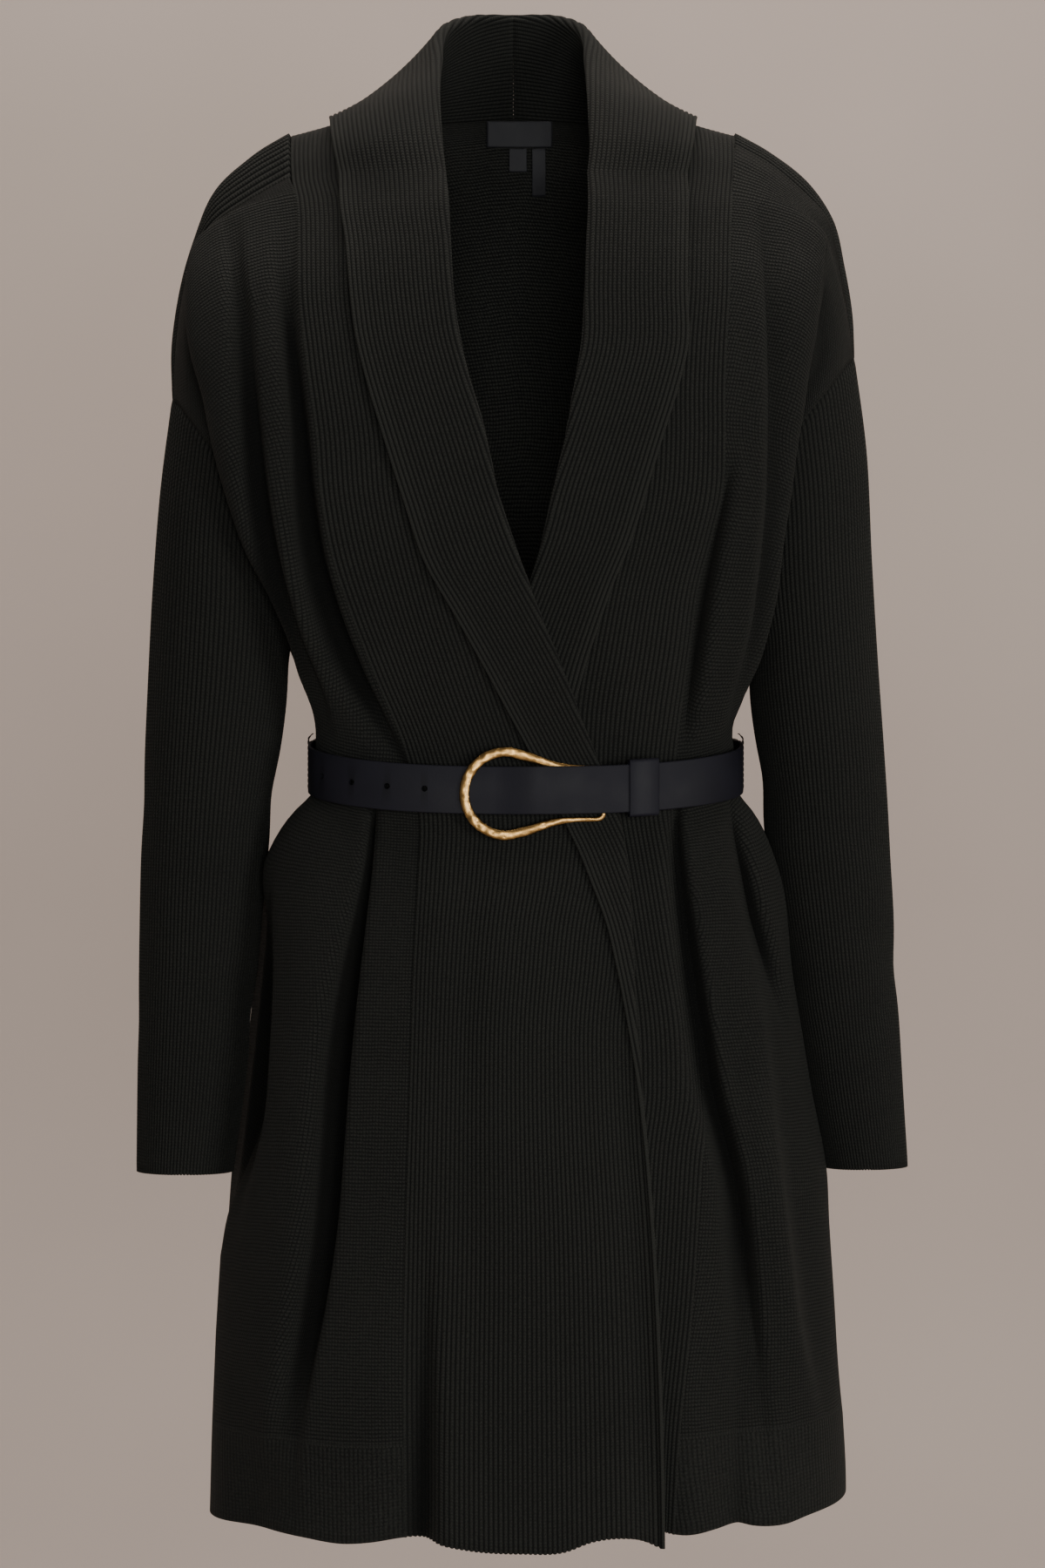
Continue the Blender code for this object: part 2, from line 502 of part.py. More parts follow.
def layer_lift(side, x, z):
    """Where the fronts cross, the wearer's left front sinks and the right one lies over it."""
    crossed = ramp(-235 * MM, -300 * MM, z)
    if side > 0:
        over = track(BAND[-1], "roll", z)
        start = min(track(BAND[1], "seam", z) - 1 * MM, over + 40 * MM)
        return -LAYER_STEP * crossed * ramp(start, over + 4 * MM, x)
    return LAYER_STEP * crossed * ramp(-80 * MM, -42 * MM, x)


def turn(stand_end, fall_start, along):
    """Half a circle from the end of the stand over to the start of the fall."""
    middle = (stand_end + fall_start) / 2
    radius = np.linalg.norm(fall_start - stand_end) / 2
    return [middle + (stand_end - middle) * math.cos(a) + along * radius * math.sin(a)
            for a in np.linspace(0, math.pi, TURN_COLUMNS + 2)[1:-1]]


def folded_line(stand, fall, along):
    """A band's section with its columns shared out between the stand, the turn and the fall."""
    return np.concatenate((resample(stand, STAND_COLUMNS), turn(stand[-1], fall[0], along),
                           resample(fall, FALL_COLUMNS)))


def band_front_line(side, z):
    """Level section of a band: seam, stand, roll, and the part that is turned outwards."""
    seam, roll, edge = (track(BAND[side], name, z) for name in ("seam", "roll", "edge"))
    step = ROLL_STEP + (LAYER_STEP - ROLL_STEP) * ramp(-190 * MM, -280 * MM, z)
    turn_x = roll - math.copysign(step / 2, roll - seam)
    stand = [body_point(x, z, layer_lift(side, x, z)) for x in np.linspace(seam, turn_x, 60)]
    fall = [body_point(x, z, layer_lift(side, x, z) + step) for x in np.linspace(turn_x, edge, 30)]
    along = stand[-1] - stand[-2]
    return folded_line(stand, fall, along / np.linalg.norm(along))


def bezier(a, b, c, count):
    return [a * (1 - t) ** 2 + b * 2 * t * (1 - t) + c * t * t for t in np.linspace(0, 1, count)]


def band_neck_line(side, step):
    """Section of the collar round the neck, from its seam over the roll to the free edge."""
    seam, stand, roll, fall, edge = (
        np.array((side * track(NECK, part + "_x", step, "step") + NECK_CENTRE,
                  track(NECK, part + "_y", step, "step"), track(NECK, part + "_z", step, "step")))
        for part in ("seam", "stand", "roll", "fall", "edge"))
    along = (roll - stand) / np.linalg.norm(roll - stand)
    across = (fall - stand) - along * np.dot(fall - stand, along)
    across *= ROLL_STEP / 2 / np.linalg.norm(across)
    low = roll - along * ROLL_STEP / 2
    return folded_line(bezier(seam, stand, low - across, 50), bezier(low + across, fall, edge, 40),
                       along)


def front_band(side, name, finish, collection):
    """Rib-knit band from the hem up the front, over the shoulder, to the middle of the collar."""
    heights = list(np.linspace(HEM_FRONT[side], HEM_FRONT[side] + HEM_BORDER, HEM_ROWS))
    heights += [z * MM for z in BELOW_ARM[::-1]] + list(YOKE[side]["z"][::-1])
    lines = [band_front_line(side, z) for z in heights]
    lines += [band_neck_line(side, step) for step in NECK_STEPS]
    grid = np.array(lines)
    pull_back(grid[-1], grid[-2], SEAM_INSET)
    shoulder_inset = (3.2 if side > 0 else 2) * SEAM_INSET
    insets = [SEAM_INSET] * len(heights)
    insets += [shoulder_inset if step < 4 else CORNER_INSET for step in NECK_STEPS]
    pull_back(grid[:, 0], grid[:, 1], insets)
    return knit_wall(name, grid, finish, collection, 0, lambda i, j: j % 2 == 1)


def saddle_strip(side, name, finish, collection):
    """Rib-knit strip over the shoulder, its ribs running from the collar down to the sleeve."""
    lines = [bezier(front, crown * 2 - (front + back) / 2, back, 30)
             for front, crown, back in zip(*(shoulder_line(side, part)
                                             for part in ("front", "crown", "back")))]
    grid = np.array([resample(line, SADDLE_COLUMNS) for line in lines])
    grid[-1] = [ring_point(side, angle, SEAM_INSET / 2)
                for angle in np.linspace(20, -20, SADDLE_COLUMNS)]
    for edge, inner in ((grid[0], grid[1]), (grid[:, 0], grid[:, 1]), (grid[:, -1], grid[:, -2])):
        pull_back(edge, inner, 1.6 * SEAM_INSET)
    if side < 0:
        grid = grid[:, ::-1]
    return knit_wall(name, grid, finish, collection, 0, lambda i, j: j % 2 == 1)


def sleeve(side, name, finish, collection):
    """Rib-knit sleeve from the armhole seam to the cuff, its ribs running down the arm."""
    rings = SLEEVE[side]
    grid = []
    for place in np.linspace(0, len(rings["z"]) - 1, SLEEVE_RINGS):
        ring = {key: np.interp(place, range(len(values)), values) for key, values in rings.items()}
        line = []
        for j in range(SLEEVE_COLUMNS):
            angle = side * 2 * math.pi * j / SLEEVE_COLUMNS
            c, s = math.cos(angle), math.sin(angle)
            line.append((side * (ring["x"] + (ring["half_width"] - KNIT_WALL / 2) * c),
                         ring["y"] - (ring["half_depth"] - KNIT_WALL / 2) * s,
                         ring["z"] + ring["rise"] * c))
        grid.append(line)
    grid = np.array(grid)
    pull_back(grid[0], grid[1], SEAM_INSET)
    return knit_wall(name, grid, finish, collection, 1, lambda i, j: j % 2 == 1, closed=True)


# ---------------------------------------------------------------- the belt

def belt_outline():
    """Level outline of the belt's middle line, from the middle of the front round to the left."""
    quarters = []
    for half, full, tip, facing in ((BELT["left"], BELT["front"], BELT["front_tip"], -1),
                                    (BELT["left"], BELT["back"], BELT["back_tip"], 1),
                                    (-BELT["right"], BELT["back"], BELT["back_tip"], 1),
                                    (-BELT["right"], BELT["front"], BELT["front_tip"], -1)):
        turned = np.linspace(0, math.pi / 2, 200)
        x = half * np.sin(turned) ** (2 / BELT["power"])
        y = facing * (tip + (full - tip) * np.cos(turned) ** (2 / BELT["power"]))
        ahead = np.sign(half) * -facing > 0
        quarters.append(np.column_stack((x, y)) if ahead else np.column_stack((x, y))[::-1])
    line = np.concatenate(quarters + [quarters[0][:1]])
    step = np.linalg.norm(np.diff(line, axis=0), axis=1)
    keep = np.concatenate(([True], step > 1e-7))
    line = line[keep]
    places = np.concatenate(([0], np.cumsum(np.linalg.norm(np.diff(line, axis=0), axis=1))))
    return line, places


BELT_LINE, BELT_PLACES = belt_outline()
BELT_LENGTH = BELT_PLACES[-1]


def belt_point(place, out=0.0, up=0.0):
    """Point on the belt's middle line, a length round it from the middle of the front."""
    def level(at):
        at %= BELT_LENGTH
        return np.array([np.interp(at, BELT_PLACES, BELT_LINE[:, k]) for k in (0, 1)])
    x, y = level(place)
    ahead = level(place + 1 * MM) - level(place - 1 * MM)
    normal = np.array((ahead[1], -ahead[0], 0)) / np.linalg.norm(ahead)
    end, end_y = (BELT["z_front"], BELT["front"]) if y < 0 else (BELT["z_back"], BELT["back"])
    z = BELT["z_side"] + (end - BELT["z_side"]) * (y / end_y) ** 2
    return np.array((x, y, z + up)) + normal * out


def front_place(x):
    """Length round the belt at which its front passes a place across the body."""
    quarter = len(BELT_LINE) // 8
    if x >= 0:
        return np.interp(x, BELT_LINE[:quarter, 0], BELT_PLACES[:quarter])
    return np.interp(x, BELT_LINE[-quarter:, 0], BELT_PLACES[-quarter:])


def tail_out(x):
    """The tail rises over the buckle's arms and then lies on the belt's other end."""
    return 3.7 * MM * ramp(-18 * MM, 10 * MM, x) - 0.7 * MM * ramp(52 * MM, 62 * MM, x)


def buckle_out(x):
    """The buckle's round end lies on the strap and its arms dip under the tail."""
    return 3.2 * MM - 2.9 * MM * ramp(-14 * MM, 16 * MM, x)


def bar_mesh(name, centres, acrosses, outs, widths, thick, closed):
    """Flat bar with bevelled corners swept along a line of centres."""
    shape = [(0.5, 0.2), (0.3, 0.5), (-0.3, 0.5), (-0.5, 0.2), (-0.5, -0.2), (-0.3, -0.5),
             (0.3, -0.5), (0.5, -0.2)]
    bm = bmesh.new()
    rings = []
    for centre, across, out, width in zip(centres, acrosses, outs, widths):
        rings.append([bm.verts.new(centre + across * width * u + out * thick * v) for u, v in shape])
    count = len(rings) if closed else len(rings) - 1
    for i in range(count):
        ring, following = rings[i], rings[(i + 1) % len(rings)]
        for j in range(len(shape)):
            k = (j + 1) % len(shape)
            bm.faces.new((ring[j], ring[k], following[k], following[j]))
    if not closed:
        bm.faces.new(rings[0])
        bm.faces.new(rings[-1][::-1])
    bmesh.ops.recalc_face_normals(bm, faces=bm.faces)
    mesh = bpy.data.meshes.new(name)
    bm.to_mesh(mesh)
    bm.free()
    mesh.shade_smooth()
    return mesh


def strap(name, finish, collection, cutters):
    """One strap: from the cross bar round the back, through the buckle and under the keeper."""
    start = front_place(BUCKLE_END + 1.9 * MM)
    near = front_place(-60 * MM)
    places = list(np.linspace(start, near, 56))
    places += list(np.linspace(near, BELT_LENGTH + front_place(TAIL_END_X), 26)[1:])
    bm = bmesh.new()
    rings = []
    for place in places:
        x = belt_point(place)[0]
        out = tail_out(x) if place >= near else 0
        corners = ((1, 1), (1, -1), (-1, -1), (-1, 1))
        rings.append([bm.verts.new(belt_point(place, out + u * BELT_THICK / 2, v * BELT_WIDTH / 2))
                      for u, v in corners])
    for ring, following in zip(rings, rings[1:]):
        for j in range(4):
            bm.faces.new((ring[j], ring[(j + 1) % 4], following[(j + 1) % 4], following[j]))
    bm.faces.new(rings[0])
    bm.faces.new(rings[-1][::-1])
    bmesh.ops.recalc_face_normals(bm, faces=bm.faces)
    mesh = bpy.data.meshes.new(name)
    bm.to_mesh(mesh)
    bm.free()
    piece = add_object(name, mesh, finish, collection)
    for i in range(BELT_HOLES):
        place = front_place(HOLE_X) - i * BELT_HOLE_STEP
        middle = belt_point(place)
        outward = belt_point(place, 1) - middle
        bpy.ops.mesh.primitive_cylinder_add(vertices=12, radius=BELT_HOLE / 2, depth=12 * MM,
                                            location=middle)
        punch = bpy.context.object
        punch.name = "punch_%d" % (i + 1)
        punch.rotation_euler = (math.pi / 2, 0, math.atan2(outward[1], outward[0]) + math.pi / 2)
        punch.display_type = 'WIRE'
        punch.hide_render = True
        for owner in punch.users_collection:
            owner.objects.unlink(punch)
        cutters.objects.link(punch)
        cut = piece.modifiers.new("hole_%d" % (i + 1), 'BOOLEAN')
        cut.object = punch
        cut.operation = 'DIFFERENCE'
    return piece


def buckle(name, finish, collection):
    """Long horseshoe buckle closed by its cross bar, lying on the curve of the belt."""
    centre_x = BUCKLE_LEFT + BUCKLE_RADIUS
    outline = [(centre_x + BUCKLE_RADIUS * math.cos(a), BUCKLE_RADIUS * math.sin(a))
               for a in np.linspace(math.radians(88), math.radians(180), 10)]
    shoulder = [(BUCKLE_END, 0), (BUCKLE_END, 8), (BUCKLE_END, 13), (BUCKLE_END - 2.5 * MM, 15.6),
                (42 * MM, 16), (33 * MM, 16.2), (25 * MM, 16.9), (15 * MM, 19.2), (4 * MM, 22.8),
                (-4 * MM, 25)]
    upper = [(x, z * MM) for x, z in shoulder] + outline
    loop = upper + [(x, -z) for x, z in upper[-2:0:-1]]
    loop = np.array(loop)
    tangents = np.roll(loop, -1, axis=0) - np.roll(loop, 1, axis=0)
    tangents /= np.linalg.norm(tangents, axis=1)[:, None]
    centres, acrosses, outs, widths = [], [], [], []
    for (x, z), (tx, tz) in zip(loop, tangents):
        place = front_place(x)
        base = belt_point(place)
        ahead = belt_point(place + 1 * MM) - belt_point(place - 1 * MM)
        ahead[2] = 0
        ahead /= np.linalg.norm(ahead)
        out = belt_point(place, 1) - base
        centres.append(np.array((base[0], base[1], BUCKLE_Z + z)) + out * buckle_out(x))
        acrosses.append(ahead * -tz + np.array((0, 0, tx)))
        outs.append(out)
        widths.append(BUCKLE_BAR - 3.2 * MM * ramp(-5 * MM, 46 * MM, x))
    return add_object(name, bar_mesh(name, centres, acrosses, outs, widths, BUCKLE_THICK, True),
                      finish, collection)


def keeper(name, finish, collection):
    """Leather loop round both layers of the belt, open along the belt."""
    outer_half = KEEPER_HEIGHT / 2
    inner_half = outer_half - KEEPER_THICK
    low, high = -BELT_THICK / 2 - FIT, tail_out(KEEPER_X) + BELT_THICK / 2 + FIT
    section_in = ((low, -inner_half), (high, -inner_half), (high, inner_half), (low, inner_half))
    section_out = ((low - KEEPER_THICK, -outer_half), (high + KEEPER_THICK, -outer_half),
                   (high + KEEPER_THICK, outer_half), (low - KEEPER_THICK, outer_half))
    bm = bmesh.new()
    rings = []
    for x in np.linspace(KEEPER_X - KEEPER_WIDTH / 2, KEEPER_X + KEEPER_WIDTH / 2, 4):
        place = front_place(x)
        rings.append([[bm.verts.new(belt_point(place, out, up)) for out, up in section]
                      for section in (section_out, section_in)])
    for ring, following in zip(rings, rings[1:]):
        for layer in (0, 1):
            for j in range(4):
                k = (j + 1) % 4
                bm.faces.new((ring[layer][j], ring[layer][k], following[layer][k], following[layer][j]))
    for ring in (rings[0], rings[-1]):
        for j in range(4):
            k = (j + 1) % 4
            bm.faces.new((ring[0][j], ring[0][k], ring[1][k], ring[1][j]))
    bmesh.ops.recalc_face_normals(bm, faces=bm.faces)
    mesh = bpy.data.meshes.new(name)
    bm.to_mesh(mesh)
    bm.free()
    return add_object(name, mesh, finish, collection)


def carrier(side, name, finish, collection):
    """Thread loop at the side seam that holds the belt up."""
    place = BELT_LENGTH * (0.25 if side > 0 else 0.75)
    thread = 0.7 * MM
    reach = BELT_WIDTH / 2 + 1.2 * MM
    close = -BELT_THICK / 2
    far = BELT_THICK / 2 + FIT + thread
    route = ((close + thread, reach + 3.4 * MM), (far * 0.6, reach + 1.6 * MM), (far, reach),
             (far, 0), (far, -reach), (far * 0.6, -reach - 1.6 * MM),
             (close + thread, -reach - 3.4 * MM))
    curve = bpy.data.curves.new(name, 'CURVE')
    curve.dimensions = '3D'
    curve.bevel_depth = thread
    curve.bevel_resolution = 1
    curve.use_fill_caps = True
    spline = curve.splines.new('POLY')
    spline.points.add(len(route) - 1)
    for point, (out, up) in zip(spline.points, route):
        point.co = (*belt_point(place, out, up), 1)
    return add_object(name, curve, finish, collection)


def label(name, finish, collection):
    """Bare woven tab that lies inside the back of the neck."""
    centre_x, centre_z, width, height = (value * MM for value in LABELS[name])
    shift = 0.9 * MM if name != "label_main" else 0
    lift = -KNIT_WALL / 2 - 2.3 * MM - LABEL_THICK / 2 - shift
    grid = np.array([[body_point(x, z, lift, True)
                      for x in np.linspace(centre_x - width / 2, centre_x + width / 2, 4)]
                     for z in np.linspace(centre_z + height / 2, centre_z - height / 2, 3)])
    piece = add_object(name, loft_mesh(name, grid), finish, collection)
    tab = piece.modifiers.new("tab", 'SOLIDIFY')
    tab.thickness = LABEL_THICK
    tab.offset = 0
    return piece


def main():
    for old in list(bpy.data.objects):
        bpy.data.objects.remove(old)
    garment = bpy.data.collections.new("long_cardigan")
    cutters = bpy.data.collections.new("cutters")
    for collection in (garment, cutters):
        bpy.context.scene.collection.children.link(collection)
    for side, word in ((-1, "right"), (1, "left")):
        front_panel(side, "front_" + word, material("fine_knit.front_" + word), garment)
        front_band(side, "band_" + word, material("rib_knit.band_" + word), garment)
        saddle_strip(side, "saddle_" + word, material("rib_knit.saddle_" + word), garment)
        sleeve(side, "sleeve_" + word, material("rib_knit.sleeve_" + word), garment)
        carrier(side, "belt_carrier_" + word, material("thread.carrier_" + word), garment)
    back_panel("back", material("fine_knit.back"), garment)
    strap("belt_strap", material("leather.strap", 0, 0.55), garment, cutters)
    keeper("belt_keeper", material("leather.keeper", 0, 0.55), garment)
    buckle("belt_buckle", material("brass.buckle", 1, 0.3), garment)
    for name in LABELS:
        label(name, material("satin." + name, 0, 0.4), garment)


main()
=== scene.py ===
import math

import bmesh
import bpy
import numpy as np
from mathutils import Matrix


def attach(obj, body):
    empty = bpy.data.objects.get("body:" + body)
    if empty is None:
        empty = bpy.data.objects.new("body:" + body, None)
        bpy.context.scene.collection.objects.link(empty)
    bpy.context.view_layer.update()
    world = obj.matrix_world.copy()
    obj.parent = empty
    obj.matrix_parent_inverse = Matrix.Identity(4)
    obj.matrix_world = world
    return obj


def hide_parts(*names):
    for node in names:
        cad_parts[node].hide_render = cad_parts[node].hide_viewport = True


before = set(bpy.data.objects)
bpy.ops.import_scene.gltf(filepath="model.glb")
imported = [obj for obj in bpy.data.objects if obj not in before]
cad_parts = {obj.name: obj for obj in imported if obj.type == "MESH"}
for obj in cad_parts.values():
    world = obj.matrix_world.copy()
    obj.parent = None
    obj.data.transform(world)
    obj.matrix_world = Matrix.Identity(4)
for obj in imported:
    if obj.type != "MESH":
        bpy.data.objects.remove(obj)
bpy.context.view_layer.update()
print("stage: frame loaded")

mm = 0.001
wall = 2.3 * mm              # knit wall, between its ribs
layerStep = 4.2 * mm         # one cloth layer to the next where the fronts cross
rollStep = 5.6 * mm          # stand to turned fall of the collar
hemBorder = 58 * mm          # ribbed border above the hem
neckCentre = -6 * mm         # the garment hangs this far to the wearer's right at the neck
pleatDepth = 21 * mm         # folds deeper than this are pleats with steep walls
foldBehind = 8 * mm          # hollow behind the fold beside the armhole
foldFade = 60 * mm           # height over which columns gather towards a fold


def table(columns, rows, plain=()):
    # columns by name, given in millimetres and kept in metres; plain ones keep their unit
    values = np.array(rows, dtype=float)
    return {name: values[:, i] * (1 if name in plain else mm)
            for i, name in enumerate(columns.split())}


def track(tab, name, at, key="z"):
    # one column's value at a height, on a smooth curve through the rows
    xs, ys = tab[key], tab[name]
    if xs[0] > xs[-1]:
        xs, ys = xs[::-1], ys[::-1]
    at = np.clip(at, xs[0], xs[-1])
    i = np.clip(np.searchsorted(xs, at) - 1, 0, len(xs) - 2)
    slope = np.gradient(ys, xs)
    span = xs[i + 1] - xs[i]
    t = (at - xs[i]) / span
    return ((1 + 2 * t) * (1 - t) ** 2 * ys[i] + t * (1 - t) ** 2 * span * slope[i]
            + t * t * (3 - 2 * t) * ys[i + 1] + t * t * (t - 1) * span * slope[i + 1])


def ramp(start, end, value):
    # rises smoothly from 0 at the start to 1 at the end
    t = np.clip((value - start) / (end - start), 0, 1)
    return t * t * (3 - 2 * t)


# Body sections: how far the front and the back stand out, and the depth at which each turns
# round to the side. The power squares the section off.
depthRows = table("z tip backTip front back power backPower", (
    (18, 20, 1, 50, 80, 1.3, 1.6), (0, 22, 4, 55, 82.5, 1.3, 1.7),
    (-20, 24, 8, 60, 85, 1.35, 1.8), (-37, 28, 14, 68, 91, 1.4, 1.75),
    (-50, 30, 20, 78, 96, 1.5, 1.75), (-76, 42, 36, 90, 100, 1.7, 1.8),
    (-100, 55, 50, 98, 103, 2.0, 2.0), (-130, 66, 64, 105, 106, 2.3, 2.3),
    (-160, 73, 73, 110, 108, 2.5, 2.5), (-200, 76, 76, 114, 108, 2.6, 2.6),
    (-250, 76, 76, 116, 105, 2.6, 2.6), (-300, 74, 74, 112, 99, 2.6, 2.6),
    (-350, 62, 60, 103, 90, 2.5, 2.5), (-385, 46, 44, 95.5, 82, 2.4, 2.4),
    (-405, 41, 39, 93.5, 80, 2.3, 2.3), (-424, 40, 38, 93, 81, 2.3, 2.3),
    (-443, 39, 37, 93.5, 86, 2.3, 2.3), (-456, 38, 36, 96, 91, 2.3, 2.3),
    (-480, 34, 32, 106, 98, 2.2, 2.2), (-520, 30, 28, 115, 108, 2.2, 2.2),
    (-600, 30, 28, 124, 118, 2.2, 2.2), (-700, 30, 28, 134, 126, 2.2, 2.2),
    (-800, 30, 28, 142, 134, 2.2, 2.2), (-895, 30, 28, 148, 140, 2.2, 2.2)),
    plain=("power", "backPower"))

# Half widths: tip is the fold that hangs beside the sleeve, side is the side seam behind it.
widthRows = {
    -1: table("z tip side", (
        (-20, 178, 178), (-37, 190, 190), (-50, 200, 195), (-63, 204, 200), (-76, 208.5, 200),
        (-100, 212, 200), (-122, 212, 190), (-146, 209, 180), (-177, 200.5, 170),
        (-205, 195, 160), (-230, 188.5, 154), (-253, 181.5, 151), (-280, 173, 147),
        (-303, 164, 142), (-349, 144.5, 134), (-385, 131, 129), (-407, 130.5, 129.5),
        (-424, 131, 130), (-440, 146, 143), (-469, 163, 158), (-520, 170.5, 164), (-560, 174.5, 168),
        (-620, 181.5, 175), (-667, 187.5, 181), (-700, 190, 187), (-748, 193, 191),
        (-822, 197, 195), (-895, 199, 197))),
    1: table("z tip side", (
        (-20, 166, 166), (-37, 176, 176), (-50, 188, 186), (-65, 192, 188), (-89, 191, 180),
        (-105, 189, 175), (-136, 184.5, 165), (-160, 180, 157), (-184, 177, 149),
        (-208, 173.5, 143), (-234, 171, 138), (-262, 167.5, 134), (-310, 161, 130),
        (-343, 152, 128), (-365, 143, 128), (-385, 135, 131), (-407, 134, 133),
        (-424, 135, 134), (-440, 147, 144), (-470, 160.5, 155), (-545, 171.8, 166), (-610, 183, 177),
        (-664, 193.6, 187.5), (-700, 196, 192), (-756, 200, 197), (-812, 202.5, 200),
        (-864, 205, 203), (-895, 204.5, 202.5)))}

# Front bands: seam to the panel, roll line and free edge, across the front (+x, wearer's left).
bandRows = {
    -1: table("z seam roll edge", (
        (-37, -146, -48.5, -116), (-60, -142.5, -47, -114), (-80, -141.5, -46, -111),
        (-117, -140, -44, -107.5), (-143, -137, -40, -104), (-160, -135, -36, -100),
        (-201, -129.5, -24.5, -88), (-242, -126, -15.5, -75), (-284, -118, -1, -60),
        (-311, -109, 9, -44), (-350, -94, 25, -22), (-404, -72, 45, 6), (-437, -64.5, 58, 22),
        (-478, -65, 64.5, 39), (-507, -66.5, 66, 50), (-537, -68, 67.5, 57),
        (-570, -69, 69, 63.5), (-604, -70, 72, 69), (-640, -71, 75, 73.1), (-691, -72.5, 79, 77.2),
        (-783, -75, 83.5, 81.7), (-895, -75, 86, 84.2))),
    1: table("z seam roll edge", (
        (-37, 134.5, 42.5, 104), (-60, 132.5, 42, 104), (-80, 131.5, 41, 103.5),
        (-111, 130.5, 40, 103), (-149, 128, 37.5, 103), (-174, 127, 33, 97),
        (-206, 127, 27.5, 87), (-236, 125.5, 20.5, 78), (-268, 118, 13.5, 68),
        (-296, 110.5, 5.5, 56.5), (-339, 105, -9, 42), (-375, 100, -18, 31),
        (-404, 96.5, -24, 16), (-440, 95, -30, 0), (-470, 99, -33, -14),
        (-495, 102, -34, -22), (-522, 105.5, -35, -28), (-572, 113.5, -37, -32),
        (-610, 115, -38, -33), (-664, 111.5, -39, -34), (-745, 106, -40, -35),
        (-819, 98.5, -41, -36), (-895, 95, -42, -37)))}

# Heights of the cross-sections that a band and its side panel share, from the seam at the
# shoulder to the hem. Above the underarm a panel's section runs down and outwards: it passes
# the tip at its own height and ends on the armhole, at an angle from the top of the sleeve.
yokeRows = {
    -1: table("z tip angle", (
        (-50, -85, 32), (-72, -108, 50), (-101, -135, 70), (-134, -164, 92), (-170, -196, 114),
        (-208, -230, 136), (-248, -265, 158), (-286, -298, 180)), plain=("angle",)),
    1: table("z tip angle", (
        (-50, -76, 36), (-70, -97, 54), (-95, -121, 74), (-124, -148, 96), (-158, -178, 118),
        (-195, -210, 140), (-232, -243, 162), (-268, -275, 180)), plain=("angle",))}
backYokeHeights = (0, -22, -52, -86, -122, -160, -200, -244)
belowArm = (-326, -352, -378, -402, -424, -443, -460, -482, -508, -545, -595, -655, -720, -780)
hemFront = {-1: -889 * mm, 1: -883 * mm}
hemSide = {-1: -882 * mm, 1: -868 * mm}
hemBack = -876 * mm

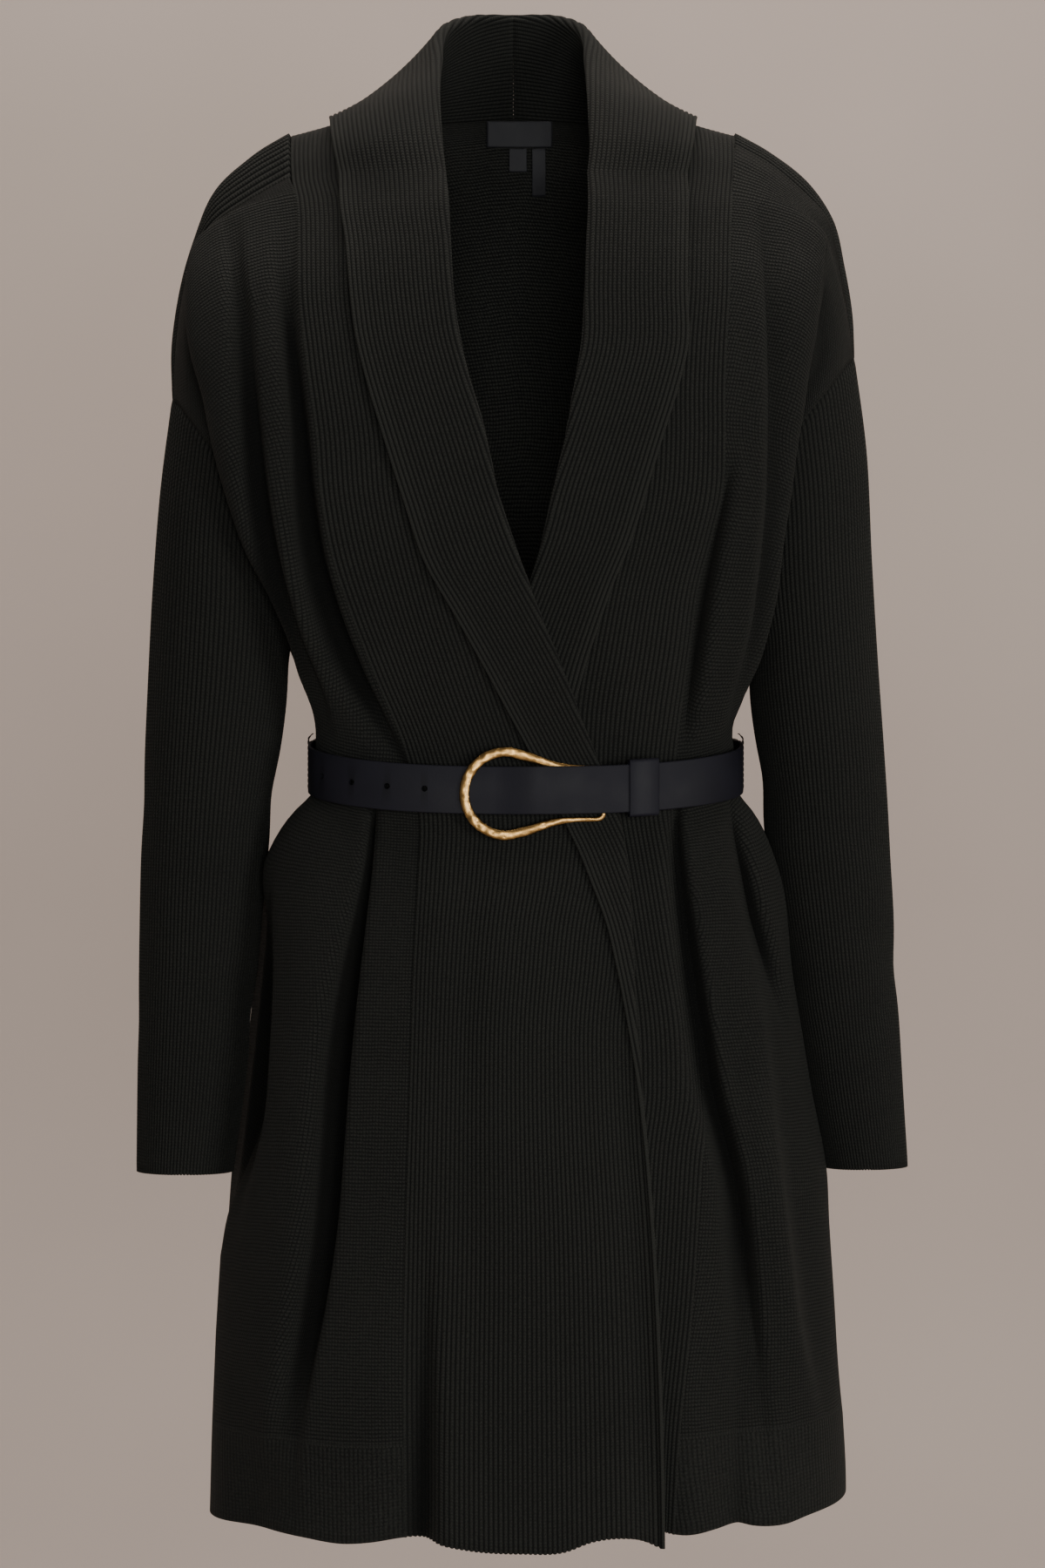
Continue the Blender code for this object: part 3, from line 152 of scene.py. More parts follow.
# Folds: a trough (or a ridge, where the depth is negative) along each row of places. Left and
# right are how gently its two walls fall, as the front is seen; a small value is a steep wall.
foldColumns = "z x depth left right"
frontFolds = {
    -1: tuple(table(foldColumns, rows) for rows in (
        # deep fold beside the band, from the shoulder to the belt
        ((-50, 147, 0, 8, 6), (-110, 146.5, 6, 8, 5), (-143, 143.5, 15, 8, 4.5),
         (-201, 136.5, 25, 9, 4), (-242, 132.5, 28, 11, 4), (-284, 125.5, 28, 13, 4),
         (-311, 118, 26, 14, 4), (-350, 103, 20, 14, 4), (-385, 86, 10, 11, 4),
         (-405, 76, 4, 7, 4), (-415, 72, 0, 6, 4)),
        # second fold, towards the sleeve
        ((-60, 183, 0, 6, 5), (-101, 178, 6, 7, 4), (-127, 173, 10, 9, 4), (-163, 169.5, 14, 11, 4),
         (-206, 165.5, 19, 12, 4), (-252, 160.5, 22, 12, 4), (-289, 153.5, 20, 12, 4),
         (-330, 142, 14, 10, 4), (-366, 128, 7, 8, 4), (-395, 121, 0, 6, 4)),
        # pleat that opens below the belt, its wall steep beside the strip next to the band
        ((-428, 92, 0, 3, 2), (-442, 93, 14, 3.5, 2), (-474, 95.5, 26, 5, 2), (-502, 99, 32, 7, 2.2),
         (-534, 103, 36, 10, 2.4), (-561, 106, 38, 12, 2.4), (-594, 109.5, 38, 13, 2.6),
         (-640, 113, 36, 13, 2.6), (-692, 117.5, 32, 13, 3), (-746, 126, 25, 13, 3.5),
         (-790, 135, 14, 13, 4), (-835, 143, 5, 14, 5), (-880, 147, 2, 14, 6)),
        # full tube of cloth beside the pleat
        ((-440, 132, 0, 13, 13), (-500, 133, -4, 13, 13), (-610, 140, -6, 12, 14),
         (-745, 152, -5, 14, 14), (-860, 165, 0, 14, 14)),
        # cloth that turns back sharply beside the sleeve
        ((-470, 161, 0, 7, 4), (-500, 164, 10, 8, 5), (-540, 165, 24, 11, 6),
         (-590, 168.5, 30, 13, 7), (-630, 173, 28, 13, 8), (-655, 178, 18, 13, 8), (-690, 186, 4, 13, 9),
         (-720, 192, 0, 14, 9)),
        # hollow beside the band's seam, deepening to the hem
        ((-690, 60, 0, 8, 5), (-740, 60, 5, 9, 4), (-790, 59, 12, 11, 4), (-840, 59, 17, 12, 4.5),
         (-895, 60, 20, 13, 5)),
        # shallow hollow in the panel at the hem
        ((-770, 178, 0, 10, 10), (-830, 172, 6, 12, 10), (-895, 168, 10, 13, 10)),
        # two slack folds in the band over the lap
        ((-440, 30, 0, 9, 9), (-500, 32, 2.5, 12, 8), (-600, 36, 3.5, 14, 8), (-760, 30, 2, 16, 10),
         (-860, 26, 0, 16, 10)))),
    1: tuple(table(foldColumns, rows) for rows in (
        ((-50, 150, 0, 3, 7), (-100, 152, 6, 2.5, 8), (-143, 153.5, 9, 2.5, 9),
         (-206, 154, 11, 2.5, 10), (-236, 153.5, 12, 2.5, 10), (-291, 149, 13, 2.5, 10),
         (-326, 144.5, 12, 2.5, 9), (-360, 137, 9, 3, 7), (-388, 131, 4, 3, 6), (-400, 129, 0, 3, 6)),
        # band turned in beside its seam
        ((-215, 130, 0, 4, 3), (-240, 127, 8, 5, 2.5), (-296, 117, 16, 7, 2.5),
         (-339, 110.5, 16, 7, 2.5), (-375, 104.5, 9, 6, 3), (-400, 100, 0, 6, 3)),
        ((-425, 98, 0, 5, 2.5), (-437, 98.5, 8, 6, 2.2), (-478, 102.5, 18, 9, 2.2),
         (-522, 109, 24, 11, 2.2), (-572, 117, 26, 13, 2.4), (-613, 124, 26, 13, 2.6),
         (-640, 131, 24, 13, 2.8), (-668, 137, 21, 13, 3), (-720, 142, 16, 14, 4),
         (-760, 144, 10, 14, 5), (-831, 148, 4, 14, 7), (-870, 150, 2, 14, 8)),
        ((-425, 130, 0, 4, 2), (-452, 136, 10, 5, 2), (-474, 142, 16, 6, 2), (-501, 148, 18, 7, 2.2),
         (-523, 154, 16, 8, 2.6), (-545, 159, 10, 8, 3), (-575, 163, 0, 8, 4)),
        # ridge on the wearer's left hip, its outer side falling away
        ((-520, 140, 0, 9, 5), (-572, 147, -6, 10, 4), (-645, 155, -9, 10, 3.6),
         (-710, 163, -10, 10, 3.6), (-765, 170, -8, 10, 4), (-800, 177, -4, 10, 5),
         (-840, 184, 0, 9, 6)),
        ((-572, 158, 0, 5, 10), (-645, 168, 6, 6, 12), (-710, 176, 8, 6, 12), (-765, 183, 6, 6, 12),
         (-820, 190, 0, 6, 12)),
        # hollows at the hem
        ((-760, 128, 0, 10, 8), (-820, 131, 6, 12, 7), (-895, 134, 12, 13, 8)),
        ((-800, 96, 0, 6, 5), (-850, 94, 5, 8, 6), (-895, 92, 8, 9, 6))))}

# Height added to the hem along the front: negative values hang lower.
hemWave = {
    -1: table("x lift", ((-86, -3), (-71, 3), (-60, 4), (-43, 2), (-26, -4), (1, -5), (34, -3),
                         (49.5, 0), (57, 3), (66, 4), (78, 3), (93, 0), (110, -2), (137, 0),
                         (160, 2), (200, 0))),
    1: table("x lift", ((36, 0), (83, 1), (102, -2), (118, 0), (134, 2), (145, -1), (163, -3),
                        (177, -1), (205, 0)))}
backFolds = {
    -1: tuple(table(foldColumns, rows) for rows in (
        ((-120, 150, 0, 9, 6), (-200, 140, 8, 9, 6), (-300, 115, 11, 9, 6), (-360, 90, 8, 8, 5),
         (-400, 78, 0, 8, 5)),
        ((-170, 70, 0, 11, 8), (-260, 64, 5, 11, 8), (-350, 52, 7, 9, 6), (-400, 46, 0, 8, 5)),
        ((-428, 40, 0, 7, 4), (-470, 42, 7, 8, 5), (-560, 50, 11, 11, 8), (-700, 58, 9, 13, 10),
         (-840, 66, 3, 15, 12), (-880, 68, 2, 15, 12)),
        ((-428, 95, 0, 7, 4), (-480, 100, 9, 8, 5), (-600, 112, 13, 11, 8), (-740, 124, 9, 12, 9),
         (-860, 132, 2, 14, 11)))),
    1: tuple(table(foldColumns, rows) for rows in (
        ((-110, 140, 0, 9, 6), (-190, 132, 7, 9, 6), (-290, 112, 10, 9, 6), (-350, 92, 8, 8, 5),
         (-400, 76, 0, 8, 5)),
        ((-190, 50, 0, 11, 8), (-270, 46, 4, 11, 8), (-345, 40, 6, 9, 6), (-400, 34, 0, 8, 5)),
        ((-428, 52, 0, 7, 4), (-475, 56, 8, 8, 5), (-580, 66, 12, 11, 8), (-690, 72, 10, 13, 10),
         (-820, 78, 4, 15, 12), (-880, 80, 2, 15, 12)),
        ((-428, 104, 0, 7, 4), (-485, 112, 8, 8, 5), (-590, 126, 11, 10, 7), (-720, 138, 8, 12, 9),
         (-850, 146, 2, 14, 11))))}

belt = {"right": 135 * mm, "left": 139 * mm, "front": 105.5 * mm, "back": 84.8 * mm,
        "frontTip": 42 * mm, "backTip": 40 * mm, "power": 2.5,
        "zFront": -424 * mm, "zSide": -407 * mm, "zBack": -402 * mm}
beltDip = belt["zSide"] - belt["zFront"]

# Softer creases that only the cloth shows, in the same columns as the folds.
frontCreases = {
    -1: (),
    1: tuple(table(foldColumns, rows) for rows in (
        # the lap's cloth dips before its free edge
        ((-540, 58, 0, 8, 4), (-604, 63, 3, 8, 4), (-691, 70.5, 4.5, 8, 4), (-783, 75, 5, 8, 4),
         (-895, 77.5, 5, 8, 4)),))}
backCreases = {
    -1: tuple(table(foldColumns, rows) for rows in (
        ((-90, 172, 0, 6, 9), (-160, 160, 4, 7, 10), (-240, 138, 5, 7, 10), (-320, 112, 3, 7, 9),
         (-370, 100, 0, 7, 9)),
        ((-500, 150, 0, 8, 10), (-620, 156, 5, 9, 12), (-760, 160, 4, 10, 13), (-876, 164, 2, 10, 13)),
        ((-640, 18, 0, 10, 12), (-760, 16, 3, 12, 14), (-876, 14, 4, 12, 14)))),
    1: tuple(table(foldColumns, rows) for rows in (
        ((-90, 165, 0, 9, 6), (-170, 150, 4, 10, 7), (-250, 128, 5, 10, 7), (-325, 104, 3, 9, 7),
         (-372, 94, 0, 9, 7)),
        ((-480, 158, 0, 10, 8), (-600, 164, 5, 12, 9), (-740, 168, 4, 13, 10), (-876, 172, 2, 13, 10)),
        ((-660, 34, 0, 12, 10), (-770, 36, 3, 14, 12), (-876, 38, 4, 14, 12))))}


def foldDepth(side, folds, x, z):
    # how far the folds of one side push each place in; x is measured outwards
    depth = np.zeros(np.broadcast(x, z).shape)
    for fold in folds:
        inside = (z <= fold["z"][0]) & (z >= fold["z"][-1])
        offset = x - track(fold, "x", z)
        offset /= np.where(offset * side > 0, track(fold, "right", z), track(fold, "left", z))
        # a deep pleat is flat at its bottom; a shallow fold is round
        power = 4 if fold["depth"].max() > pleatDepth else 2
        depth += np.where(inside, track(fold, "depth", z) * np.exp(-abs(offset) ** power / 2), 0)
    return depth


def bothFolds(folds, x, z):
    # depth of the folds at places on either side of the middle
    return np.where(x < 0, foldDepth(-1, folds[-1], abs(x), z), foldDepth(1, folds[1], abs(x), z))


def shellY(x, z, back):
    # how far the plain front or back stands out from the middle plane
    half = np.where(x < 0, track(widthRows[-1], "tip", z), track(widthRows[1], "tip", z))
    tip = track(depthRows, "backTip" if back else "tip", z)
    full = track(depthRows, "back" if back else "front", z)
    power = track(depthRows, "backPower" if back else "power", z)
    # stops just short of the tip, where the surface stands upright
    share = np.minimum(abs(x) / half, 0.9992)
    return tip + (full - tip) * (1 - share ** power) ** (1 / power)


def bodyPoint(x, z, lift=0.0, back=False, folded=1.0):
    # points on the folded front or back, lifted outwards from the middle of its wall
    x, z = np.broadcast_arrays(np.asarray(x, float), np.asarray(z, float))
    facing = 1 if back else -1
    step = 0.5 * mm              # short enough for a true slope
    outward = np.where(x < 0, -1, 1)
    here = shellY(x, z, back)
    slopeX = (here - shellY(x - step * outward, z, back)) / step * outward
    slopeZ = (shellY(x, z + step, back) - shellY(x, z - step, back)) / (2 * step)
    normal = np.stack((-slopeX, np.full(x.shape, float(facing)), -slopeZ), axis=-1)
    normal /= np.linalg.norm(normal, axis=-1, keepdims=True)
    # folds push straight in rather than sideways, which leaves the outline where it is
    inward = normal * (0.25, 1, 1)
    inward /= np.linalg.norm(inward, axis=-1, keepdims=True)
    folds = backFolds if back else frontFolds
    creases = backCreases if back else frontCreases
    depth = bothFolds({side: folds[side] + creases[side] for side in (-1, 1)}, x, z)
    place = np.stack((x, facing * here, z), axis=-1)
    return place + normal * np.asarray(lift)[..., None] - inward * depth[..., None] * folded


def ringPoint(side, angle, clear=0.0):
    # armhole seam; 0 degrees is outermost, 90 in front; clear is towards the body
    ring = {name: values[0] for name, values in sleeveRows[side].items()}
    c, s = math.cos(math.radians(angle)), math.sin(math.radians(angle))
    outward = np.array((ring["halfWidth"] * c, -ring["halfDepth"] * s, ring["rise"] * c))
    inward = np.array((-ring["rise"], 0, ring["halfWidth"]))
    inward /= np.linalg.norm(inward)
    point = np.array((ring["x"], ring["y"], ring["z"])) + outward + inward * clear
    return point * (side, 1, 1)


def panelEnd(side, angle):
    # a panel ends beside the sleeve's wall, and under the arm it keeps farther off
    clear = wall * 0.6 + 3.2 * mm * ramp(80, 170, abs(angle))
    return ringPoint(side, angle, clear)


def shoulderLine(side, part, steps):
    # front edge, crown or back edge of the strip over the shoulder
    strip = saddleRows[side]
    return np.stack([track(strip, part + axis, steps, "step") * scale
                     for axis, scale in (("X", side), ("Y", 1), ("Z", 1))], axis=-1)


def resample(points, count, density=None, measure=None):
    # the same line with its points spread along it, closer where it is denser; the distances
    # can be measured on another line
    steps = np.linalg.norm(np.diff(points if measure is None else measure, axis=0), axis=1)
    if density is not None:
        steps = steps * (density[1:] + density[:-1]) / 2
    lengths = np.concatenate(([0], np.cumsum(steps)))
    places = np.linspace(0, lengths[-1], count)
    return np.column_stack([np.interp(places, lengths, points[:, k]) for k in range(3)])


def bezier(a, b, c, count):
    # curve from a to c that b draws towards itself
    t = np.linspace(0, 1, count)[:, None]
    return a * (1 - t) ** 2 + b * 2 * t * (1 - t) + c * t * t


def clothUv(grid, closed=False):
    # metres across and along the cloth; a closed tube gets one more column
    if closed:
        grid = np.concatenate((grid, grid[:, :1]), axis=1)
    across = np.linalg.norm(np.diff(grid, axis=1), axis=2)
    u = np.pad(np.cumsum(across, axis=1), ((0, 0), (1, 0)))
    along = np.linalg.norm(np.diff(grid, axis=0), axis=2).mean(axis=1)
    v = np.pad(np.cumsum(along), (1, 0))
    return np.stack((u, np.broadcast_to(v[:, None], u.shape)), axis=-1)


def hemUv(grid):
    # the cloth's own coordinates, counted along from the hem
    uv = clothUv(grid).copy()
    uv[..., 1] -= uv[-1, 0, 1]
    return uv


def ribUv(grid, ribs, closed=False):
    # the cloth's own coordinates, with one wale to every rib
    uv = clothUv(grid, closed).copy()
    uv[..., 0] = np.linspace(0, ribs * ribFace["wale"], uv.shape[1])
    return uv


def paintedPleatShadeMask(grid):
    # how deep each place of a front lies in a pleat, from 0 to 1; it sets the painted shade at the
    # bottoms of the pleats
    return ramp(6 * mm, 18 * mm, bothFolds(frontFolds, grid[..., 0], grid[..., 2]))


def storeValues(mesh, label, values):
    mesh.attributes.new(label, 'FLOAT', 'POINT').data.foreach_set("value", values)


def gridMesh(name, grid, ribs=None, edge=None, closed=False, uv=None, hollow=None):
    # one face for each cell; carries the cloth's own coordinates, rib count, worn edges and the painted
    # shade of the pleats
    rows, columns = grid.shape[:2]
    if uv is None:
        uv = clothUv(grid, closed)
    wrap = columns if closed else columns - 1
    i, j = np.meshgrid(np.arange(rows - 1), np.arange(wrap), indexing="ij")
    k = (j + 1) % columns
    quads = np.stack((i * columns + j, i * columns + k, (i + 1) * columns + k,
                      (i + 1) * columns + j), axis=-1).reshape(-1, 4)
    mesh = bpy.data.meshes.new(name)
    mesh.from_pydata(grid.reshape(-1, 3).tolist(), [], quads.tolist())
    corners = np.stack((uv[i, j], uv[i, j + 1], uv[i + 1, j + 1], uv[i + 1, j]), axis=2)
    mesh.uv_layers.new(name="cloth").data.foreach_set("uv", corners.reshape(-1))
    for label, values in (("ribs", ribs), ("worn", edge), ("hollow", hollow)):
        if values is not None:
            storeValues(mesh, label, np.broadcast_to(values, (rows, columns)).reshape(-1))
    mesh.shade_smooth()
    return mesh


def skinRings(bm, points, closed):
    # faces over a row of closed sections, with end caps where the row is open
    rings = [[bm.verts.new(point) for point in ring] for ring in points]
    for i in range(len(rings) if closed else len(rings) - 1):
        ring, following = rings[i], rings[(i + 1) % len(rings)]
        for j in range(len(ring)):
            k = (j + 1) % len(ring)
            bm.faces.new((ring[j], ring[k], following[k], following[j]))
    if not closed:
        bm.faces.new(rings[0])
        bm.faces.new(rings[-1][::-1])


def skinMesh(name, rows, closed):
    # one smooth mesh over each row of sections
    bm = bmesh.new()
    for points in rows:
        skinRings(bm, points, closed)
    bmesh.ops.recalc_face_normals(bm, faces=bm.faces)
    mesh = bpy.data.meshes.new(name)
    bm.to_mesh(mesh)
    bm.free()
    mesh.shade_smooth()
    return mesh


def addObject(name, data):
    made = bpy.data.objects.new(name, data)
    bpy.context.scene.collection.objects.link(made)
    return made


def settle(piece):
    # keep the evaluated mesh in place of the modifiers
    graph = bpy.context.evaluated_depsgraph_get()
    mesh = bpy.data.meshes.new_from_object(piece.evaluated_get(graph), preserve_all_data_layers=True,
                                           depsgraph=graph)
    piece.modifiers.clear()
    old = piece.data
    piece.data = mesh
    bpy.data.meshes.remove(old)
    mesh.name = piece.name


def thicken(piece, thickness, offset):
    thick = piece.modifiers.new("wall", 'SOLIDIFY')
    thick.thickness = thickness
    thick.offset = offset
    return thick


def declare(piece, node):
    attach(piece, "root")
    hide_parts(node)
    print("stage:", piece.name, len(piece.data.polygons))


def setInputs(tree, node, inputs):
    # a socket is linked; any other value is set on the node
    for socket, value in inputs.items():
        if isinstance(value, bpy.types.NodeSocket):
            tree.links.new(value, node.inputs[socket])
        else:
            node.inputs[socket].default_value = value


def addNode(tree, kind, inputs=None, **settings):
    made = tree.nodes.new(kind)
    for name, value in settings.items():
        setattr(made, name, value)
    setInputs(tree, made, inputs or {})
    return made.outputs


def ribTree():
    # raises ribs along a grid; "ribs" counts them across it, and "crest" keeps their height
    tree = bpy.data.node_groups.new("ribRelief", 'GeometryNodeTree')
    for name, kind in (("Geometry", "NodeSocketGeometry"), ("Depth", "NodeSocketFloat"),
                       ("Roundness", "NodeSocketFloat"), ("Material", "NodeSocketMaterial")):
        tree.interface.new_socket(name, in_out='INPUT', socket_type=kind)
    tree.interface.new_socket("Geometry", in_out='OUTPUT', socket_type="NodeSocketGeometry")
    given = addNode(tree, "NodeGroupInput")
    count = addNode(tree, "GeometryNodeInputNamedAttribute", {"Name": "ribs"}, data_type='FLOAT')
    part = addNode(tree, "ShaderNodeMath", {0: count["Attribute"]}, operation='FRACT')
    away = addNode(tree, "ShaderNodeMath", {0: part[0], 1: 0.5}, operation='SUBTRACT')
    away = addNode(tree, "ShaderNodeMath", {0: away[0]}, operation='ABSOLUTE')
    away = addNode(tree, "ShaderNodeMath", {0: away[0], 1: 2.0}, operation='MULTIPLY')
    fall = addNode(tree, "ShaderNodeMath", {0: away[0], 1: given["Roundness"]}, operation='POWER')
    crest = addNode(tree, "ShaderNodeMath", {0: 1.0, 1: fall[0]}, operation='SUBTRACT')
    middle = addNode(tree, "ShaderNodeMath", {0: crest[0], 1: 0.5}, operation='SUBTRACT')
    height = addNode(tree, "ShaderNodeMath", {0: middle[0], 1: given["Depth"]},
                     operation='MULTIPLY')
    normal = addNode(tree, "GeometryNodeInputNormal")
    shift = addNode(tree, "ShaderNodeVectorMath", {0: normal["Normal"], "Scale": height[0]},
                    operation='SCALE')
    raised = addNode(tree, "GeometryNodeSetPosition",
                     {"Geometry": given["Geometry"], "Offset": shift["Vector"]})
    kept = addNode(tree, "GeometryNodeStoreNamedAttribute",
                   {"Geometry": raised[0], "Name": "crest", "Value": crest[0]},
                   data_type='FLOAT', domain='POINT')
    real = addNode(tree, "GeometryNodeRealizeInstances", {"Geometry": kept[0]})
    finish = addNode(tree, "GeometryNodeSetMaterial",
                     {"Geometry": real[0], "Material": given["Material"]})
    addNode(tree, "NodeGroupOutput", {"Geometry": finish[0]})
    return tree


ribRelief = ribTree()


def raiseRibs(piece, finish, depth):
    ribs = piece.modifiers.new("ribs", 'NODES')
    ribs.node_group = ribRelief
    sockets = {item.name: item.identifier for item in ribRelief.interface.items_tree
               if item.in_out == 'INPUT'}
    ribs[sockets["Depth"]] = depth
    ribs[sockets["Roundness"]] = ribSizes["roundness"]
    ribs[sockets["Material"]] = finish


def knitPiece(name, mesh, finish, node, offset, depth=0.0, inside=None):
    # a knit piece: the wall on its grid, then ribs on both faces where it has them
    piece = addObject(name, mesh)
    thick = thicken(piece, wall, offset)
    if depth:
        raiseRibs(piece, finish, depth)
    else:
        mesh.materials.append(finish)
    if inside:
        mesh.materials.append(inside)
        thick.material_offset = 1
    settle(piece)
    declare(piece, node)


def plainPiece(name, mesh, finish, node):
    piece = addObject(name, mesh)
    mesh.materials.append(finish)
    declare(piece, node)
    return piece


def linear(code):
    # sRGB hex to linear RGBA
    values = [int(code[i:i + 2], 16) / 255 for i in (1, 3, 5)]
    return (*[c / 12.92 if c <= 0.04045 else ((c + 0.055) / 1.055) ** 2.4 for c in values], 1)


def newMaterial(name):
    made = bpy.data.materials.new(name)
    made.use_nodes = True
    return made, made.node_tree, made.node_tree.nodes["Principled BSDF"]


def knitMaterial(name, dark, light, face, seed):
    # wool-blend knit, dyed charcoal: dull, soft, with a faint fuzz that lights up at the edges
    made, tree, shader = newMaterial(name)
    cloth = addNode(tree, "ShaderNodeUVMap", uv_map="cloth")
    split = addNode(tree, "ShaderNodeSeparateXYZ", {0: cloth["UV"]})
    place = addNode(tree, "ShaderNodeTexCoord")
    waver = addNode(tree, "ShaderNodeTexNoise",
                    {"Vector": place["Object"], "Scale": 70.0, "Detail": 1.0})
    waver = addNode(tree, "ShaderNodeMath", {0: waver["Fac"], 1: 0.8}, operation='MULTIPLY')
    along = addNode(tree, "ShaderNodeMath",
                    {0: split["Y"], 1: 1 / face["course"], 2: waver[0]}, operation='MULTIPLY_ADD')
    # 0 in the middle of a wale and 0.5 between two of them; then the same for the border's ribs
    aways = []
    for pitch in (face["wale"], ribFace["wale"]) if face["border"] else (face["wale"],):
        count = addNode(tree, "ShaderNodeMath", {0: split["X"], 1: 1 / pitch},
                        operation='MULTIPLY')
        part = addNode(tree, "ShaderNodeMath", {0: count[0]}, operation='FRACT')
        off = addNode(tree, "ShaderNodeMath", {0: part[0], 1: 0.5}, operation='SUBTRACT')
        aways.append(addNode(tree, "ShaderNodeMath", {0: off[0]}, operation='ABSOLUTE')[0])
    # rib side: slanted loops make a V on each rib; purl side: short level arcs
    slant = addNode(tree, "ShaderNodeMath", {0: aways[0], 1: face["slant"], 2: along[0]},
                    operation='MULTIPLY_ADD')
    turn = addNode(tree, "ShaderNodeMath", {0: slant[0], 1: 2 * math.pi}, operation='MULTIPLY')
    wave = addNode(tree, "ShaderNodeMath", {0: turn[0]}, operation='COSINE')
    loop = addNode(tree, "ShaderNodeMath", {0: wave[0], 1: 0.5, 2: 0.5}, operation='MULTIPLY_ADD')
    # painted shade: the gap beside each wale is darkened
    between = addNode(tree, "ShaderNodeMapRange",
                      {"Value": aways[0], "From Min": face["darkFrom"], "From Max": 0.46,
                       "To Min": 1.0, "To Max": face["darkest"]},
                      interpolation_type='SMOOTHSTEP')
    stitch = addNode(tree, "ShaderNodeMath", {0: loop[0], 1: between[0]}, operation='MULTIPLY')
    if face["border"]:
        # ribbed border above the hem, below a raised line where it was linked on
        border = addNode(tree, "ShaderNodeMapRange",
                         {"Value": split["Y"], "From Min": -hemBorder - 0.4 * mm,
                          "From Max": -hemBorder + 0.4 * mm, "To Min": 0.0, "To Max": 1.0},
                         interpolation_type='SMOOTHSTEP')
        # the border's ribs and the linked line are raised in the bump and also painted lighter on their
        # crests as a highlight
        ridge = addNode(tree, "ShaderNodeMapRange",
                        {"Value": aways[1], "From Min": 0.12, "From Max": 0.46, "To Min": 0.75,
                         "To Max": 0.15}, interpolation_type='SMOOTHSTEP')
        worked = addNode(tree, "ShaderNodeMath", {0: loop[0], 1: 0.5, 2: 0.5},
                         operation='MULTIPLY_ADD')
        ridge = addNode(tree, "ShaderNodeMath", {0: ridge[0], 1: worked[0]}, operation='MULTIPLY')
        ridge = addNode(tree, "ShaderNodeMath", {0: ridge[0], 1: border[0]}, operation='MULTIPLY')
        beyond = addNode(tree, "ShaderNodeMath", {0: split["Y"], 1: hemBorder + 1.2 * mm},
                         operation='ADD')
        fromLine = addNode(tree, "ShaderNodeMath", {0: beyond[0]}, operation='ABSOLUTE')
        linked = addNode(tree, "ShaderNodeMapRange",
                         {"Value": fromLine[0], "From Min": 0.3 * mm, "From Max": 1.3 * mm,
                          "To Min": 0.6, "To Max": 0.0}, interpolation_type='SMOOTHSTEP')
        above = addNode(tree, "ShaderNodeMath", {0: 1.0, 1: border[0]}, operation='SUBTRACT')
        plain = addNode(tree, "ShaderNodeMath", {0: stitch[0], 1: above[0]}, operation='MULTIPLY')
        both = addNode(tree, "ShaderNodeMath", {0: ridge[0], 1: plain[0]}, operation='ADD')
        stitch = addNode(tree, "ShaderNodeMath", {0: both[0], 1: linked[0]}, operation='MAXIMUM')
        between = addNode(tree, "ShaderNodeMath", {0: between[0], 1: border[0]},
                          operation='MAXIMUM')
    # loose fibres on the yarn, drawn coarser than the real ones so that they show
    fibre = addNode(tree, "ShaderNodeTexNoise",
                    {"Vector": place["Object"], "Scale": 1500.0, "Detail": 2.0, "Roughness": 0.7})
    fuzz = addNode(tree, "ShaderNodeMath", {0: fibre["Fac"], 1: 0.35}, operation='MULTIPLY')
    height = addNode(tree, "ShaderNodeMath", {0: stitch[0], 1: face["height"], 2: fuzz[0]},
                     operation='MULTIPLY_ADD')
    bump = addNode(tree, "ShaderNodeBump",
                   {"Strength": face["bump"], "Distance": 0.7 * mm, "Height": height[0]})
    # slow changes of shade where the yarn was dyed and worn unevenly
    patch = addNode(tree, "ShaderNodeTexNoise",
                    {"Vector": place["Object"], "Scale": 9.0 + seed, "Detail": 3.0,
                     "Roughness": 0.55})
    lift = addNode(tree, "ShaderNodeMapRange",
                   {"Value": patch["Fac"], "From Min": 0.35, "From Max": 0.65,
                    "To Min": 0.0, "To Max": 0.16})
    # crests of ribs are paler, partly from wear and partly as a painted highlight; worn edges are paler
    # from wear; raised loops are painted paler as a highlight
    for label, gain in (("crest", 0.6), ("worn", 0.5)):
        raised = addNode(tree, "ShaderNodeAttribute", attribute_name=label)
        lift = addNode(tree, "ShaderNodeMath", {0: raised["Fac"], 1: gain, 2: lift[0]},
                       operation='MULTIPLY_ADD')
    lift = addNode(tree, "ShaderNodeMath", {0: stitch[0], 1: face["pale"], 2: lift[0]},
                   operation='MULTIPLY_ADD')
    # lighter and darker fibres in the yarn
    grain = addNode(tree, "ShaderNodeTexNoise",
                    {"Vector": place["Object"], "Scale": 800.0, "Detail": 3.0, "Roughness": 0.8})
    grain = addNode(tree, "ShaderNodeMapRange",
                    {"Value": grain["Fac"], "From Min": 0.3, "From Max": 0.7, "To Min": -0.3,
                     "To Max": 0.3}, interpolation_type='SMOOTHSTEP')
    lift = addNode(tree, "ShaderNodeMath", {0: lift[0], 1: grain[0]}, operation='ADD')
    # painted shade darkens the gaps beside the wales
    lift = addNode(tree, "ShaderNodeMath", {0: lift[0], 1: between[0]}, operation='MULTIPLY')
